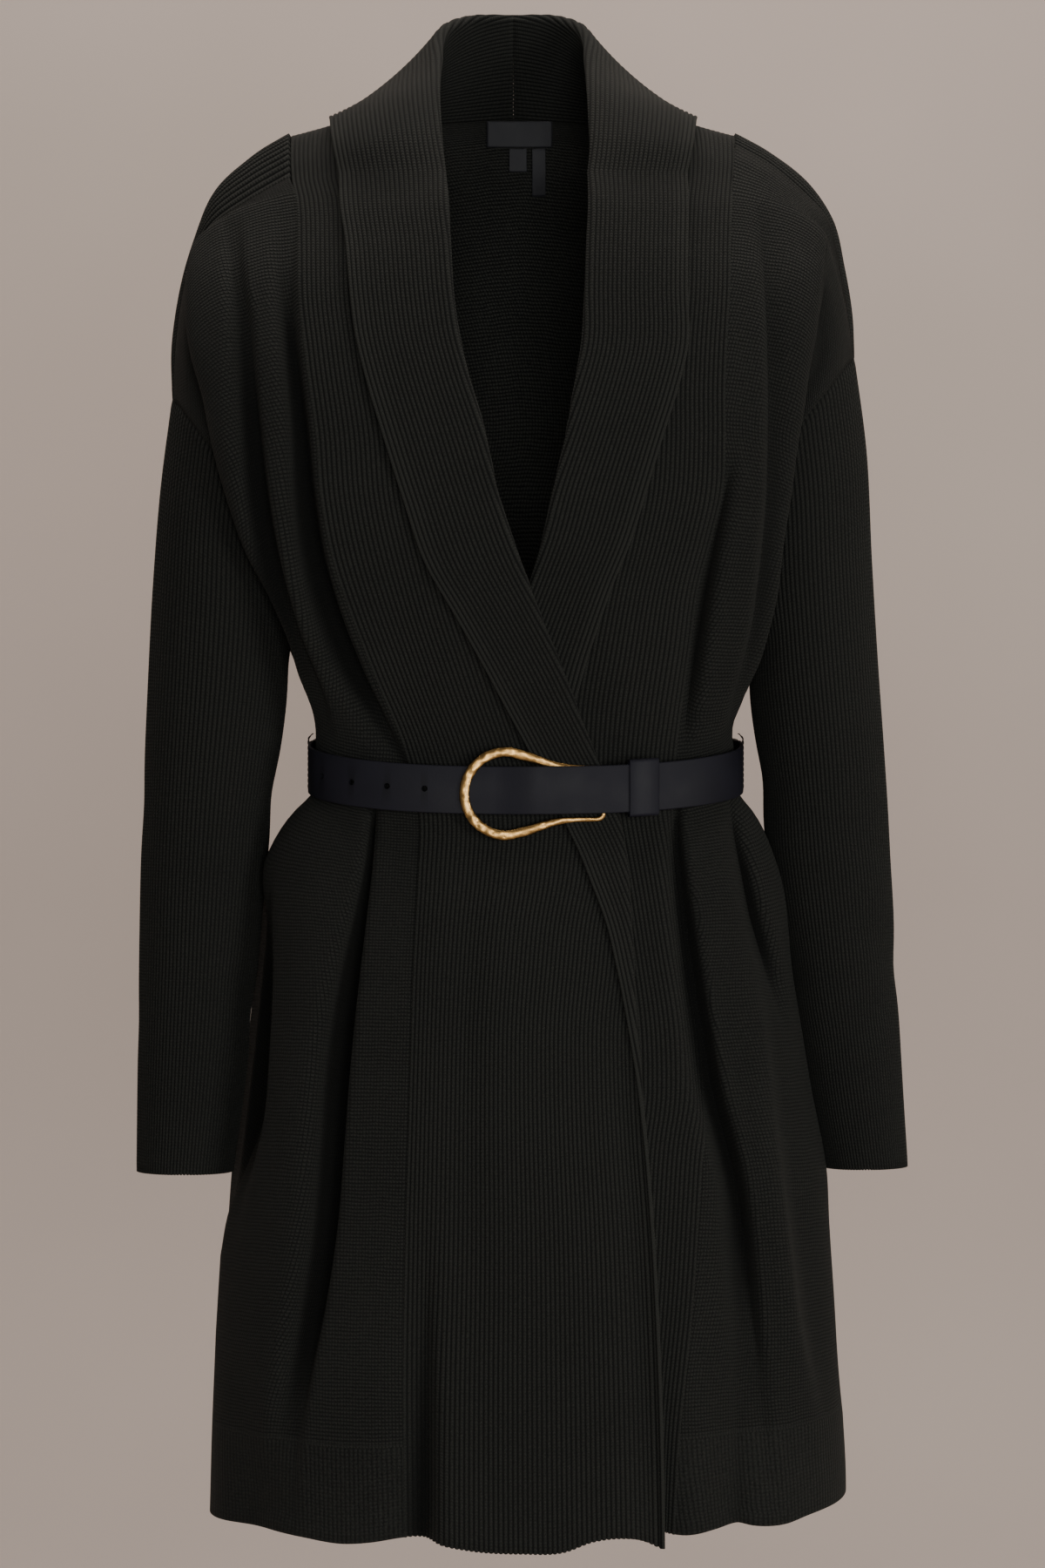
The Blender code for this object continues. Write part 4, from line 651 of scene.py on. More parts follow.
    # painted shade: the colour darkens nearly to black at the bottom of a pleat, where hardly any light
    # reaches
    hollow = addNode(tree, "ShaderNodeAttribute", attribute_name="hollow")
    paintedPleatShade = addNode(tree, "ShaderNodeMath", {0: hollow["Fac"], 1: -0.93, 2: 1.0},
                       operation='MULTIPLY_ADD')
    lift = addNode(tree, "ShaderNodeMath", {0: lift[0], 1: paintedPleatShade[0]}, operation='MULTIPLY',
                   use_clamp=True)
    colour = addNode(tree, "ShaderNodeMix", {0: lift[0], 6: linear(dark), 7: linear(light)},
                     data_type='RGBA')
    rough = addNode(tree, "ShaderNodeMapRange",
                    {"Value": fibre["Fac"], "To Min": 0.86, "To Max": 1.0})
    setInputs(tree, shader, {"Base Color": colour[2], "Roughness": rough[0], "Normal": bump[0],
                             "Specular IOR Level": 0.25, "Sheen Weight": 0.05,
                             "Sheen Roughness": 0.5, "Sheen Tint": linear("#aeb0a6")})
    return made


def leatherMaterial(name, dark, light, seed):
    # smooth-finished cow leather, dyed navy: tight grain, soft shine, paler on worn edges
    made, tree, shader = newMaterial(name)
    place = addNode(tree, "ShaderNodeTexCoord")
    grain = addNode(tree, "ShaderNodeTexVoronoi",
                    {"Vector": place["Object"], "Scale": 900.0 + 20 * seed}, feature='SMOOTH_F1')
    cloud = addNode(tree, "ShaderNodeTexNoise",
                    {"Vector": place["Object"], "Scale": 34.0 + seed, "Detail": 4.0})
    worn = addNode(tree, "ShaderNodeAttribute", attribute_name="worn")
    tone = addNode(tree, "ShaderNodeMath", {0: worn["Fac"], 1: 0.55, 2: cloud["Fac"]},
                   operation='MULTIPLY_ADD')
    tone = addNode(tree, "ShaderNodeMath", {0: tone[0], 1: 0.2}, operation='SUBTRACT',
                   use_clamp=True)
    colour = addNode(tree, "ShaderNodeMix", {0: tone[0], 6: linear(dark), 7: linear(light)},
                     data_type='RGBA')
    rough = addNode(tree, "ShaderNodeMapRange",
                    {"Value": cloud["Fac"], "From Min": 0.3, "From Max": 0.7,
                     "To Min": 0.55, "To Max": 0.7})
    bump = addNode(tree, "ShaderNodeBump",
                   {"Strength": 0.25, "Distance": 0.15 * mm, "Height": grain["Distance"]})
    soft = addNode(tree, "ShaderNodeBump",
                   {"Strength": 0.3, "Distance": 0.6 * mm, "Height": cloud["Fac"],
                    "Normal": bump[0]})
    setInputs(tree, shader, {"Base Color": colour[2], "Roughness": rough[0], "Normal": soft[0],
                             "Specular IOR Level": 0.2})
    return made


def brassMaterial(name):
    # cast brass, hammered and brushed: warm metal with small flats that catch the light
    made, tree, shader = newMaterial(name)
    place = addNode(tree, "ShaderNodeTexCoord")
    flats = addNode(tree, "ShaderNodeTexVoronoi",
                    {"Vector": place["Object"], "Scale": 230.0, "Randomness": 0.9},
                    feature='SMOOTH_F1')
    scratch = addNode(tree, "ShaderNodeTexNoise",
                      {"Vector": place["Object"], "Scale": 1200.0, "Detail": 3.0})
    tarnish = addNode(tree, "ShaderNodeTexNoise",
                      {"Vector": place["Object"], "Scale": 60.0, "Detail": 4.0})
    tone = addNode(tree, "ShaderNodeMapRange",
                   {"Value": tarnish["Fac"], "From Min": 0.35, "From Max": 0.7})
    colour = addNode(tree, "ShaderNodeMix",
                     {0: tone[0], 6: linear("#b9935a"), 7: linear("#8a6a3e")}, data_type='RGBA')
    rough = addNode(tree, "ShaderNodeMapRange",
                    {"Value": scratch["Fac"], "To Min": 0.24, "To Max": 0.46})
    bump = addNode(tree, "ShaderNodeBump",
                   {"Strength": 0.8, "Distance": 0.8 * mm, "Height": flats["Distance"]})
    fine = addNode(tree, "ShaderNodeBump",
                   {"Strength": 0.15, "Distance": 0.1 * mm, "Height": scratch["Fac"],
                    "Normal": bump[0]})
    setInputs(tree, shader, {"Base Color": colour[2], "Roughness": rough[0], "Normal": fine[0],
                             "Metallic": 1.0})
    return made


def satinMaterial(name):
    # polyester satin ribbon, dyed navy: fine floats across it give a narrow sheen
    made, tree, shader = newMaterial(name)
    cloth = addNode(tree, "ShaderNodeUVMap", uv_map="cloth")
    split = addNode(tree, "ShaderNodeSeparateXYZ", {0: cloth["UV"]})
    # the real floats are 0.15 mm apart; they are drawn 0.6 mm apart so that they show
    across = addNode(tree, "ShaderNodeMath", {0: split["X"], 1: 2 * math.pi / (0.6 * mm)},
                     operation='MULTIPLY')
    down = addNode(tree, "ShaderNodeMath",
                   {0: split["Y"], 1: 2 * math.pi / (0.9 * mm), 2: across[0]},
                   operation='MULTIPLY_ADD')
    floats = addNode(tree, "ShaderNodeMath", {0: down[0]}, operation='SINE')
    place = addNode(tree, "ShaderNodeTexCoord")
    cloud = addNode(tree, "ShaderNodeTexNoise",
                    {"Vector": place["Object"], "Scale": 180.0, "Detail": 2.0})
    colour = addNode(tree, "ShaderNodeMix",
                     {0: cloud["Fac"], 6: linear("#0f1013"), 7: linear("#1b1c22")},
                     data_type='RGBA')
    bump = addNode(tree, "ShaderNodeBump",
                   {"Strength": 0.3, "Distance": 0.1 * mm, "Height": floats[0]})
    rough = addNode(tree, "ShaderNodeMapRange",
                    {"Value": cloud["Fac"], "To Min": 0.45, "To Max": 0.6})
    setInputs(tree, shader, {"Base Color": colour[2], "Roughness": rough[0], "Normal": bump[0],
                             "Specular IOR Level": 0.3, "Sheen Weight": 0.1})
    return made


def paperMaterial(name, shade):
    # seamless background paper: matt, with a very slight mottle
    made, tree, shader = newMaterial(name)
    place = addNode(tree, "ShaderNodeTexCoord")
    mottle = addNode(tree, "ShaderNodeTexNoise",
                     {"Vector": place["Object"], "Scale": 2.0, "Detail": 2.0})
    colour = addNode(tree, "ShaderNodeMix",
                     {0: mottle["Fac"], 6: linear(shade), 7: linear("#bbb0a9")}, data_type='RGBA')
    setInputs(tree, shader, {"Base Color": colour[2], "Roughness": 0.95})
    return made


# Faces of the knit: a wale is one rib or column of stitches across and a course one row along.
# Slant is how far a loop leans, darkFrom and darkest how wide and deep the gap beside a wale is, in the
# bump and as painted shade;
# height and bump how raised a stitch is, pale how much lighter it is painted as a highlight; border adds
# the ribbed hem.
ribFace = {"wale": 2.9 * mm, "course": 2.0 * mm, "slant": 0.8, "darkFrom": 0.24, "darkest": 0.0,
           "height": 0.6, "bump": 0.8, "pale": 0.3, "border": False}
purlFace = {"wale": 2.0 * mm, "course": 2.3 * mm, "slant": 0.35, "darkFrom": 0.3, "darkest": 0.3,
            "height": 1.0, "bump": 1.0, "pale": 0.95, "border": True}
yarnFace = dict(ribFace, wale=1.0 * mm, course=1.2 * mm)
# Raised ribs: relief is a rib's height over the dips beside it.
ribSizes = {"relief": 1.0 * mm, "roundness": 2.2}
finishes = {
    "rib": knitMaterial("Wool blend knit, charcoal, ribbed", "#050605", "#222320", ribFace, 0.0),
    "sleeve": knitMaterial("Wool blend knit, charcoal, ribbed sleeve", "#050605", "#1f201d",
                           ribFace, 1.0),
    "purl": knitMaterial("Wool blend knit, charcoal, purl side", "#050605", "#232421",
                         purlFace, 2.0),
    # painted light: the inner face is coloured paler than the purl side, standing in for light that
    # barely reaches inside the back
    "inside": knitMaterial("Wool blend knit, charcoal, inner face painted lighter", "#070807", "#333430",
                           purlFace, 4.0),
    "strap": leatherMaterial("Cow leather, navy, smooth finish", "#0b0b10", "#17171f", 0),
    "keeper": leatherMaterial("Cow leather, navy, keeper", "#0e0e14", "#1e1e27", 1),
    "brass": brassMaterial("Brass, cast and hammered"),
    "satin": satinMaterial("Polyester satin ribbon, navy"),
    "thread": knitMaterial("Wool blend yarn, charcoal, twisted", "#141413", "#2a2927",
                           yarnFace, 3.0),
    "paper": paperMaterial("Seamless paper, taupe", "#aea39c")}
print("stage: materials")


# A panel's section: points along the front or back and round the side, and how they gather.
sectionSizes = {"points": 200, "returnPoints": 40, "gather": 1.2, "gatherWidth": 18 * mm,
                "risePower": 1.4, "returnPower": 2.2, "reach": 0.9990}


def tipHeight(z):
    # sections near the belt run up towards the sides, as the belt does
    return z + beltDip * ramp(-345 * mm, -402 * mm, z) * ramp(-545 * mm, -450 * mm, z)


def sideLine(side, innerX, z, tipZ, end, columns, back):
    # a section from innerX out to the tip of the body and round it to its end point
    size = sectionSizes
    tipX = track(widthRows[side], "tip", tipZ) * size["reach"]
    a = np.linspace(0, 1, size["points"])
    height = z + (tipZ - z) * a ** size["risePower"]
    x = innerX + (tipX - innerX) * np.sin(a * math.pi / 2)
    line = bodyPoint(side * x, height, -wall / 2, back)
    density = np.ones(size["points"])
    for fold in (backFolds if back else frontFolds)[side]:
        within = (ramp(fold["z"][0], fold["z"][0] - foldFade, height)
                  * ramp(fold["z"][-1], fold["z"][-1] + foldFade, height))
        close = (x - track(fold, "x", height)) / size["gatherWidth"]
        density += size["gather"] * within * np.exp(-close * close)
    t = np.linspace(0, 1, size["returnPoints"])[:, None]
    returned = line[-1] + (end - line[-1]) * t
    returned[:, 0] = end[0] + (line[-1, 0] - end[0]) * (1 - t[:, 0]) ** size["returnPower"]
    if not back:
        # above the arm the cloth turns sharply behind the fold that hangs beside the sleeve
        sharp = foldBehind * ramp(-60 * mm, -95 * mm, z) * ramp(-300 * mm, -235 * mm, z)
        returned[:, 1] += sharp * ramp(0, 0.1, t[:, 0]) * ramp(1, 0.55, t[:, 0])
    return np.concatenate((resample(line, columns, density),
                           resample(returned, panelSizes["returnColumns"] + 1)[1:]))


def sectionTable(side, back):
    # heights at the inner end and at the tip of the sections that a panel is drawn from
    yoke = yokeRows[side]
    hemLine = hemBack if back else hemFront[side]
    lower = np.concatenate((np.array(belowArm) * mm, hemLine + hemBorder * np.array((1, 0.5, 0))))
    if back:
        lower[:len(belowArm)] = tipHeight(lower[:len(belowArm)])
        lowerTip = lower + (hemSide[side] - hemBack) * ramp(-700 * mm, hemBack, lower)
    else:
        lowerTip = tipHeight(lower) + (hemSide[side] - hemLine) * ramp(-700 * mm, -880 * mm, lower)
    upper = np.array(backYokeHeights) * mm if back else yoke["z"]
    return {"z": np.concatenate((upper, lower)), "tip": np.concatenate((yoke["tip"], lowerTip)),
            "row": np.arange(len(upper) + len(lower), dtype=float)}


def sectionRows(side, back, spacing):
    # heights, tip heights and end points of a panel's sections, from the armhole to the hem
    rows = sectionTable(side, back)
    # the back's two halves share their places, so that they meet row by row
    shared = sectionTable(-1, back)
    yokeAngles = yokeRows[side]["angle"]
    angles = {"angle": yokeAngles, "row": np.arange(len(yokeAngles), dtype=float)}
    places = [0.0]
    for k in range(len(rows["z"]) - 1):
        reach = max(abs(shared[name][k + 1] - shared[name][k]) for name in ("z", "tip"))
        places += list(np.linspace(k, k + 1, max(2, math.ceil(reach / spacing)) + 1)[1:])
    facing = -1 if back else 1
    last = len(yokeAngles) - 1
    made = []
    for place in places:
        z, tip = (float(track(rows, name, place, "row")) for name in ("z", "tip"))
        armhole = panelEnd(side, facing * float(track(angles, "angle", place, "row")))
        below = min(max(place - last, 0), 1)
        lowTip = tip if place >= last + 1 else rows["tip"][last + 1]
        sideSeam = np.array((side * (track(widthRows[side], "side", lowTip) - wall / 2), 0, lowTip))
        made.append((z, tip, armhole + (sideSeam - armhole) * below))
    return made


def waveHem(side, grid):
    # the hem hangs unevenly where the folds reach it
    lift = track(hemWave[side], "lift", side * grid[..., 0], "x")
    grid[..., 2] += lift * ramp(-790 * mm, -885 * mm, grid[..., 2])
    return grid


def joinTop(top, lines, count):
    # rows between a seam line at the shoulder and the first two sections below it
    first, second = lines[0], lines[1]
    lead = np.linalg.norm(first - top, axis=1).mean() / np.linalg.norm(second - first, axis=1).mean()
    rows = []
    for t in np.linspace(0, 1, count + 1)[:-1]:
        slopeTop, slopeEnd = first - top, (second - first) * min(lead, 3)
        rows.append((1 + 2 * t) * (1 - t) ** 2 * top + t * (1 - t) ** 2 * slopeTop
                    + t * t * (3 - 2 * t) * first + t * t * (t - 1) * slopeEnd)
    return rows


# Panels: rows is the distance between sections; kneeShare is how much of a front's top edge
# takes the first half of the shoulder, and neckShare how much of the back's takes the neck.
panelSizes = {"columns": 96, "backColumns": 76, "returnColumns": 26, "rows": 6.5 * mm,
              "overlap": 1.2 * mm, "topRows": 4, "seamPoints": 120, "neckPoints": 90,
              "kneeShare": 0.5, "neckShare": 0.36,
              "flat": {-1: (0.26, 0.86), 1: (0.23, 0.85)}, "area": {-1: 0.15, 1: 0.127}}


def frontPanel(side):
    # from the band's seam round to the armhole and the side seam, shoulder to hem
    size = panelSizes
    lines = []
    for z, tip, end in sectionRows(side, False, size["rows"]):
        seam = abs(float(track(bandRows[side], "seam", z))) - size["overlap"]
        lines.append(sideLine(side, seam, z, tip, end, size["columns"], False))
    count = lines[0].shape[0]
    knee = int(count * size["kneeShare"])
    half = size["seamPoints"] // 2
    edge = shoulderLine(side, "front", np.linspace(0, saddleSizes["last"], size["seamPoints"]))
    top = np.concatenate((resample(edge[:half], knee),
                          resample(edge[half - 1:], count - knee + 1)[1:]))
    grid = waveHem(side, np.array(joinTop(top, lines, size["topRows"]) + lines))
    return grid[:, ::-1] if side > 0 else grid


def backPanel():
    # two halves joined at the middle, from the neck and the shoulders to the hem
    size = panelSizes
    halves = {}
    for side in (-1, 1):
        lines = [sideLine(side, 0, z, tip, end, size["backColumns"], True)
                 for z, tip, end in sectionRows(side, True, size["rows"])]
        count = lines[0].shape[0]
        steps = np.linspace(bandSizes["neckEnd"], bandSizes["shoulder"], size["neckPoints"])
        neck = np.stack([track(neckRows, "seam" + axis, steps, "step") for axis in "XYZ"], axis=-1)
        neck = neck * (side, 1, 1) + (neckCentre, 0, 0)
        neckCount = int(count * size["neckShare"])
        strip = shoulderLine(side, "back", np.linspace(0, saddleSizes["last"], size["seamPoints"]))
        top = np.concatenate((resample(neck, neckCount), resample(strip, count - neckCount + 1)[1:]))
        halves[side] = joinTop(top, lines, size["topRows"]) + lines
    right, left = np.array(halves[-1]), np.array(halves[1])
    if len(right) != len(left):
        raise SystemExit("the halves of the back differ in rows")
    return np.concatenate((right[:, :0:-1], left), axis=1)


# Where the fronts cross: the heights between which they part, how far past the other front's
# roll line the lower one sinks, and between which places the upper one rises.
lapSizes = {"top": -235 * mm, "full": -300 * mm, "reach": 40 * mm, "sunk": 4 * mm,
            "seamGap": 1 * mm, "riseFrom": -80 * mm, "riseTo": -42 * mm}


def layerLift(side, x, z):
    # where the fronts cross, the wearer's left one sinks and the right one lies over it
    lap = lapSizes
    crossed = ramp(lap["top"], lap["full"], z)
    if side > 0:
        over = track(bandRows[-1], "roll", z)
        start = min(track(bandRows[1], "seam", z) - lap["seamGap"], over + lap["reach"])
        return -layerStep * crossed * ramp(start, over + lap["sunk"], x)
    return layerStep * crossed * ramp(lap["riseFrom"], lap["riseTo"], x)


# Collar: the band's sections from the front of the shoulder to the back of the neck, for the
# wearer's left; x is measured outwards from the centre. Each runs from the seam past the belly
# of the stand to the roll line, then past the belly of the fall to the free edge.
neckRows = table("step seamX seamY seamZ standX standY standZ rollX rollY rollZ "
                 "fallX fallY fallZ edgeX edgeY edgeZ", (
    (1, 140.5, -44, -38, 86, -67, -37, 43.5, -65, -34, 78, -72, -36, 110.5, -58, -34),
    (2, 142, -30, -22, 80, -52, -12, 46.5, -48, -8, 80, -60, -8, 115, -44, -12),
    (3, 142.5, -12, -8, 72, -24, 9, 48, -24, 21, 75, -35, 18, 117.5, -18, 4.5),
    (4, 141.5, 10, -3.5, 68, 8, 14, 48.5, 6, 46.5, 70, 6, 34, 118, 12, 8),
    (5, 128, 38, 1, 62, 44, 20, 46, 38, 70, 70, 48, 43, 111, 54, 10),
    (6, 72, 68, 11, 36, 66, 42, 29, 62, 81.5, 46, 76, 54, 62, 83, 12.5),
    (7, 0, 80, 18, 0, 72, 50, 0, 69, 83, 0, 86, 54, 0, 90, 14)), plain=("step",))

# Bands: ribs across and columns for each; the turned part ends in a narrow rolled edge (edgeStep)
# below the wrap. The steps of the neck table run from the first to neckEnd.
bandSizes = {"ribs": 56, "perRib": 4, "rows": 6 * mm, "top": -50 * mm, "turn": 14,
             "neckRows": 46, "shoulder": 4, "neckEnd": 7, "edgeStep": 3.0 * mm, "wornRibs": 5,
             "collarFrom": -190 * mm, "collarTo": -280 * mm, "edgeFrom": -500 * mm,
             "edgeTo": -620 * mm, "plainFolds": 0.3, "leftRollOut": 5 * mm,
             "standPoints": 120, "fallPoints": 60, "neckStandPoints": 80, "flat": (0.165, 1.08)}


def foldedLine(stand, fall, along, plainStand=None, plainFall=None):
    # a band's section, with its columns at equal distances so that every rib keeps its width;
    # the plain lines, where given, keep a pleat beside the band from spreading its ribs
    middle = (stand[-1] + fall[0]) / 2
    radius = np.linalg.norm(fall[0] - stand[-1]) / 2
    a = np.linspace(0, math.pi, bandSizes["turn"] + 2)[1:-1, None]
    turned = middle + (stand[-1] - middle) * np.cos(a) + along * radius * np.sin(a)
    line = np.concatenate((stand, turned, fall))
    measure = None
    if plainStand is not None:
        shift = plainStand[-1] - stand[-1]
        measure = np.concatenate((plainStand, turned + shift, plainFall))
    return resample(line, bandSizes["ribs"] * bandSizes["perRib"] + 1, measure=measure)


def bandFrontLine(side, z):
    # a band's section across the front: seam, stand, turn at the roll line, fall, free edge
    size = bandSizes
    seam, roll, edge = (float(track(bandRows[side], name, z)) for name in ("seam", "roll", "edge"))
    step = rollStep + (layerStep - rollStep) * float(ramp(size["collarFrom"], size["collarTo"], z))
    step += (size["edgeStep"] - layerStep) * float(ramp(size["edgeFrom"], size["edgeTo"], z))
    turnX = roll - math.copysign(step / 2, roll - seam)
    made = []
    for folded in (1.0, size["plainFolds"]):
        x = np.linspace(seam, turnX, size["standPoints"])
        stand = bodyPoint(x, z, layerLift(side, x, z), folded=folded)
        x = np.linspace(turnX, edge, size["fallPoints"])
        made += [stand, bodyPoint(x, z, layerLift(side, x, z) + step, folded=folded)]
    stand, fall, plainStand, plainFall = made
    along = stand[-1] - stand[-2]
    return foldedLine(stand, fall, along / np.linalg.norm(along), plainStand, plainFall)


def bandNeckLine(side, step):
    # the same section where the band stands round the neck as the collar
    seam, stand, roll, fall, edge = (
        np.array((side * track(neckRows, part + "X", step, "step") + neckCentre,
                  track(neckRows, part + "Y", step, "step"),
                  track(neckRows, part + "Z", step, "step")))
        for part in ("seam", "stand", "roll", "fall", "edge"))
    if side > 0:
        roll[0] += bandSizes["leftRollOut"] * float(ramp(3.5, 1, step))
    along = (roll - stand) / np.linalg.norm(roll - stand)
    across = (fall - stand) - along * np.dot(fall - stand, along)
    across *= rollStep / 2 / np.linalg.norm(across)
    low = roll - along * rollStep / 2
    return foldedLine(bezier(seam, stand, low - across, bandSizes["neckStandPoints"]),
                      bezier(low + across, fall, edge, bandSizes["fallPoints"]), along)


def frontBand(side):
    size = bandSizes
    count = round((size["top"] - hemFront[side]) / size["rows"])
    lines = [bandFrontLine(side, z) for z in np.linspace(hemFront[side], size["top"], count)]
    lines += [bandNeckLine(side, step) for step in np.linspace(1, size["neckEnd"], size["neckRows"])]
    return waveHem(side, np.array(lines))


# Ribbed strips over the shoulders, from the collar out and down to the armhole: front edge,
# crown and back edge at each step; x is measured outwards from the middle of the front.
saddleColumns = "step frontX frontY frontZ crownX crownY crownZ backX backY backZ"
saddleRows = {
    -1: table(saddleColumns, (
        (0, 147.5, -42, -36, 149.5, -18, -9, 149.5, 8, -4),
        (1, 172, -42, -50, 173, -14, -22, 172, 13, -19),
        (2, 195, -38, -65, 196.5, -10, -42, 196, 17, -43),
        (3, 206, -33, -80, 209.5, -6, -71, 209, 21, -72),
        (4, 214, -29, -103, 218.5, -3, -102, 217, 23, -103),
        (5, 219, -25, -138, 224, -1, -139, 221, 23, -138),
        (6, 221.3, -22.6, -175, 223.5, 0, -172, 221.3, 22.6, -175)), plain=("step",)),
    1: table(saddleColumns, (
        (0, 135.5, -24, -14, 136.5, 0, -3, 136, 24, -8),
        (1, 158, -25, -27, 158.5, -1, -15.5, 157, 24, -20),
        (2, 180, -25, -46, 182, -1, -34, 180, 24, -40),
        (3, 194, -25, -62, 198.5, -1, -59, 195, 24, -62),
        (4, 200.5, -24.5, -88, 205.5, -1, -88, 202, 24, -88),
        (5, 205, -23.5, -117, 210.5, 0, -118, 206, 23.5, -117),
        (6, 209.5, -22.6, -149, 211.7, 0, -146, 209.5, 22.6, -149)), plain=("step",))}

# Saddles: the steps of their table run from 0 to last; from joinFrom on they bend to the seam
# of the sleeve, which they meet over an angle of plus and minus seamAngle.
saddleSizes = {"ribs": 12, "perRib": 8, "rows": 44, "last": 6, "points": 60, "joinFrom": 5.2,
               "seamAngle": 20, "relief": 1.2 * mm, "flat": (0.052, 0.2)}


def saddleStrip(side):
    # one row of the grid for each section across the strip, from the collar to the sleeve
    size = saddleSizes
    steps = np.linspace(0, size["last"], size["rows"])
    front, crown, back = (shoulderLine(side, part, steps) for part in ("front", "crown", "back"))
    grid = np.array([resample(bezier(f, c * 2 - (f + b) / 2, b, size["points"]),
                              size["ribs"] * size["perRib"] + 1)
                     for f, c, b in zip(front, crown, back)])
    angles = np.linspace(size["seamAngle"], -size["seamAngle"], grid.shape[1])
    ring = np.array([ringPoint(side, angle) for angle in angles])
    grid = grid + (ring - grid[-1]) * ramp(size["joinFrom"], size["last"], steps)[:, None, None]
    return grid[:, ::-1] if side < 0 else grid


# Sleeves: rings from the armhole seam to the cuff. A ring's outer end stands up by rise.
sleeveColumns = "z x y halfWidth rise halfDepth"
sleeveRows = {
    -1: table(sleeveColumns, (
        (-222, 186.8, 0, 36.7, 50, 66), (-262, 190.7, 0, 40.5, 30, 65), (-310, 192.6, 0, 43.6, 14, 63),
        (-360, 195.8, -1, 43.4, 4, 60), (-420, 201, -3, 40.8, 0, 56), (-480, 205, -6, 38.6, 0, 53),
        (-560, 209, -10, 35.6, 0, 49), (-620, 212.7, -14, 32.4, 0, 45), (-667, 215.9, -18, 29.4, 0, 42))),
    1: table(sleeveColumns, (
        (-196, 175, 0, 36.7, 50, 66), (-238, 179.5, 0, 40.2, 30, 64.5), (-290, 182, 0, 41, 14, 62),
        (-345, 186.2, -1, 40.6, 4, 59), (-400, 191.4, -3, 39.4, 0, 55), (-460, 196.2, -6, 38.2, 0, 51),
        (-545, 204.7, -10, 33.8, 0, 46), (-610, 212, -14, 29.8, 0, 42), (-664, 219, -18, 25.9, 0, 39)))}

# Creases of the sleeves: height, angle (0 outermost, 90 in front), depth, half height,
# half angle in degrees, and the slant in millimetres of height for each degree.
sleeveCreases = {
    -1: ((-545, 70, 2.4, 13, 42, 0.35), (-452, 55, 2, 15, 45, -0.3), (-395, 105, 2.2, 12, 40, 0.4),
         (-560, 200, 2.2, 14, 50, 0.3), (-430, 185, 2, 14, 45, -0.35), (-350, 150, 2.4, 12, 40, 0.3)),
    1: ((-570, 75, 2.6, 13, 42, -0.35), (-520, 40, 2.2, 12, 38, 0.4), (-440, 95, 2, 16, 45, 0.3),
        (-550, 195, 2.2, 14, 50, -0.3), (-420, 180, 2, 14, 45, 0.35), (-335, 150, 2.4, 12, 40, -0.3))}

# Sleeves: the seam allowance goes on under the armhole's edge and turns in a little.
sleeveSizes = {"ribs": 94, "perRib": 4, "rows": 84, "allowance": 6 * mm, "turnedIn": 3.5 * mm,
               "flat": (0.34, 0.5)}


def sleeveDepth(side, angle, z):
    # soft creases round the arm: each is a trough at a height and an angle, slanted across
    depth = np.zeros(angle.shape)
    for height, middle, deep, halfHeight, halfAngle, slant in sleeveCreases[side]:
        turned = (angle - middle + 180) % 360 - 180
        level = (z - height * mm - turned * slant * mm) / (halfHeight * mm)
        depth += deep * mm * np.exp(-level * level / 2 - (turned / halfAngle) ** 2 / 2)
    return depth


def sleeveTube(side):
    size = sleeveSizes
    rings = dict(sleeveRows[side])
    rings["row"] = np.arange(len(rings["z"]), dtype=float)
    count = size["ribs"] * size["perRib"]
    angle = 2 * math.pi * np.arange(count) / count
    c, s = np.cos(angle), np.sin(side * angle)
    lines = []
    for place in np.linspace(0, len(rings["row"]) - 1, size["rows"]):
        ring = {name: float(track(rings, name, place, "row")) for name in
                ("x", "y", "z", "halfWidth", "rise", "halfDepth")}
        z = ring["z"] + ring["rise"] * c
        sink = sleeveDepth(side, np.degrees(angle), z)
        lines.append(np.stack((side * (ring["x"] + (ring["halfWidth"] - wall / 2 - sink) * c),
                               ring["y"] - (ring["halfDepth"] - wall / 2 - sink) * s, z), axis=-1))
    first = {name: values[0] for name, values in rings.items()}
    inward = np.array((-side * first["rise"], 0, first["halfWidth"]))
    inward /= np.linalg.norm(inward)
    middle = np.array((side * first["x"], first["y"], first["z"]))
    shrink = size["turnedIn"] / first["halfDepth"]
    head = lines[0]
    allowance = [head + inward * size["allowance"] * share + (middle - head) * shrink * share
                 for share in (1.0, 0.4)]
    return np.array(allowance + lines)


for side, word in ((-1, "right"), (1, "left")):
    grid = frontPanel(side)
    knitPiece("frontPanel." + word,
              gridMesh("frontPanel", grid, uv=hemUv(grid), hollow=paintedPleatShadeMask(grid)),
              finishes["purl"], "front_" + word, 1)
    grid = frontBand(side)
    ribs = np.linspace(0, bandSizes["ribs"], grid.shape[1])
    edge = ramp(bandSizes["ribs"] - bandSizes["wornRibs"], bandSizes["ribs"], ribs)
    knitPiece("frontBand." + word,
              gridMesh("frontBand", grid, ribs, edge, uv=ribUv(grid, bandSizes["ribs"]),
                       hollow=paintedPleatShadeMask(grid)),
              finishes["rib"], "band_" + word, 0,
              ribSizes["relief"])
    grid = saddleStrip(side)
    ribs = np.linspace(0, saddleSizes["ribs"], grid.shape[1])
    knitPiece("saddle." + word, gridMesh("saddle", grid, ribs, uv=ribUv(grid, saddleSizes["ribs"])),
              finishes["rib"], "saddle_" + word, 0,
              saddleSizes["relief"])
    grid = sleeveTube(side)
    ribs = np.arange(grid.shape[1]) / sleeveSizes["perRib"]
    knitPiece("sleeve." + word,
              gridMesh("sleeve", grid, ribs, closed=True,
                       uv=ribUv(grid, sleeveSizes["ribs"], True)),
              finishes["sleeve"], "sleeve_" + word, 1,
              ribSizes["relief"])
grid = backPanel()
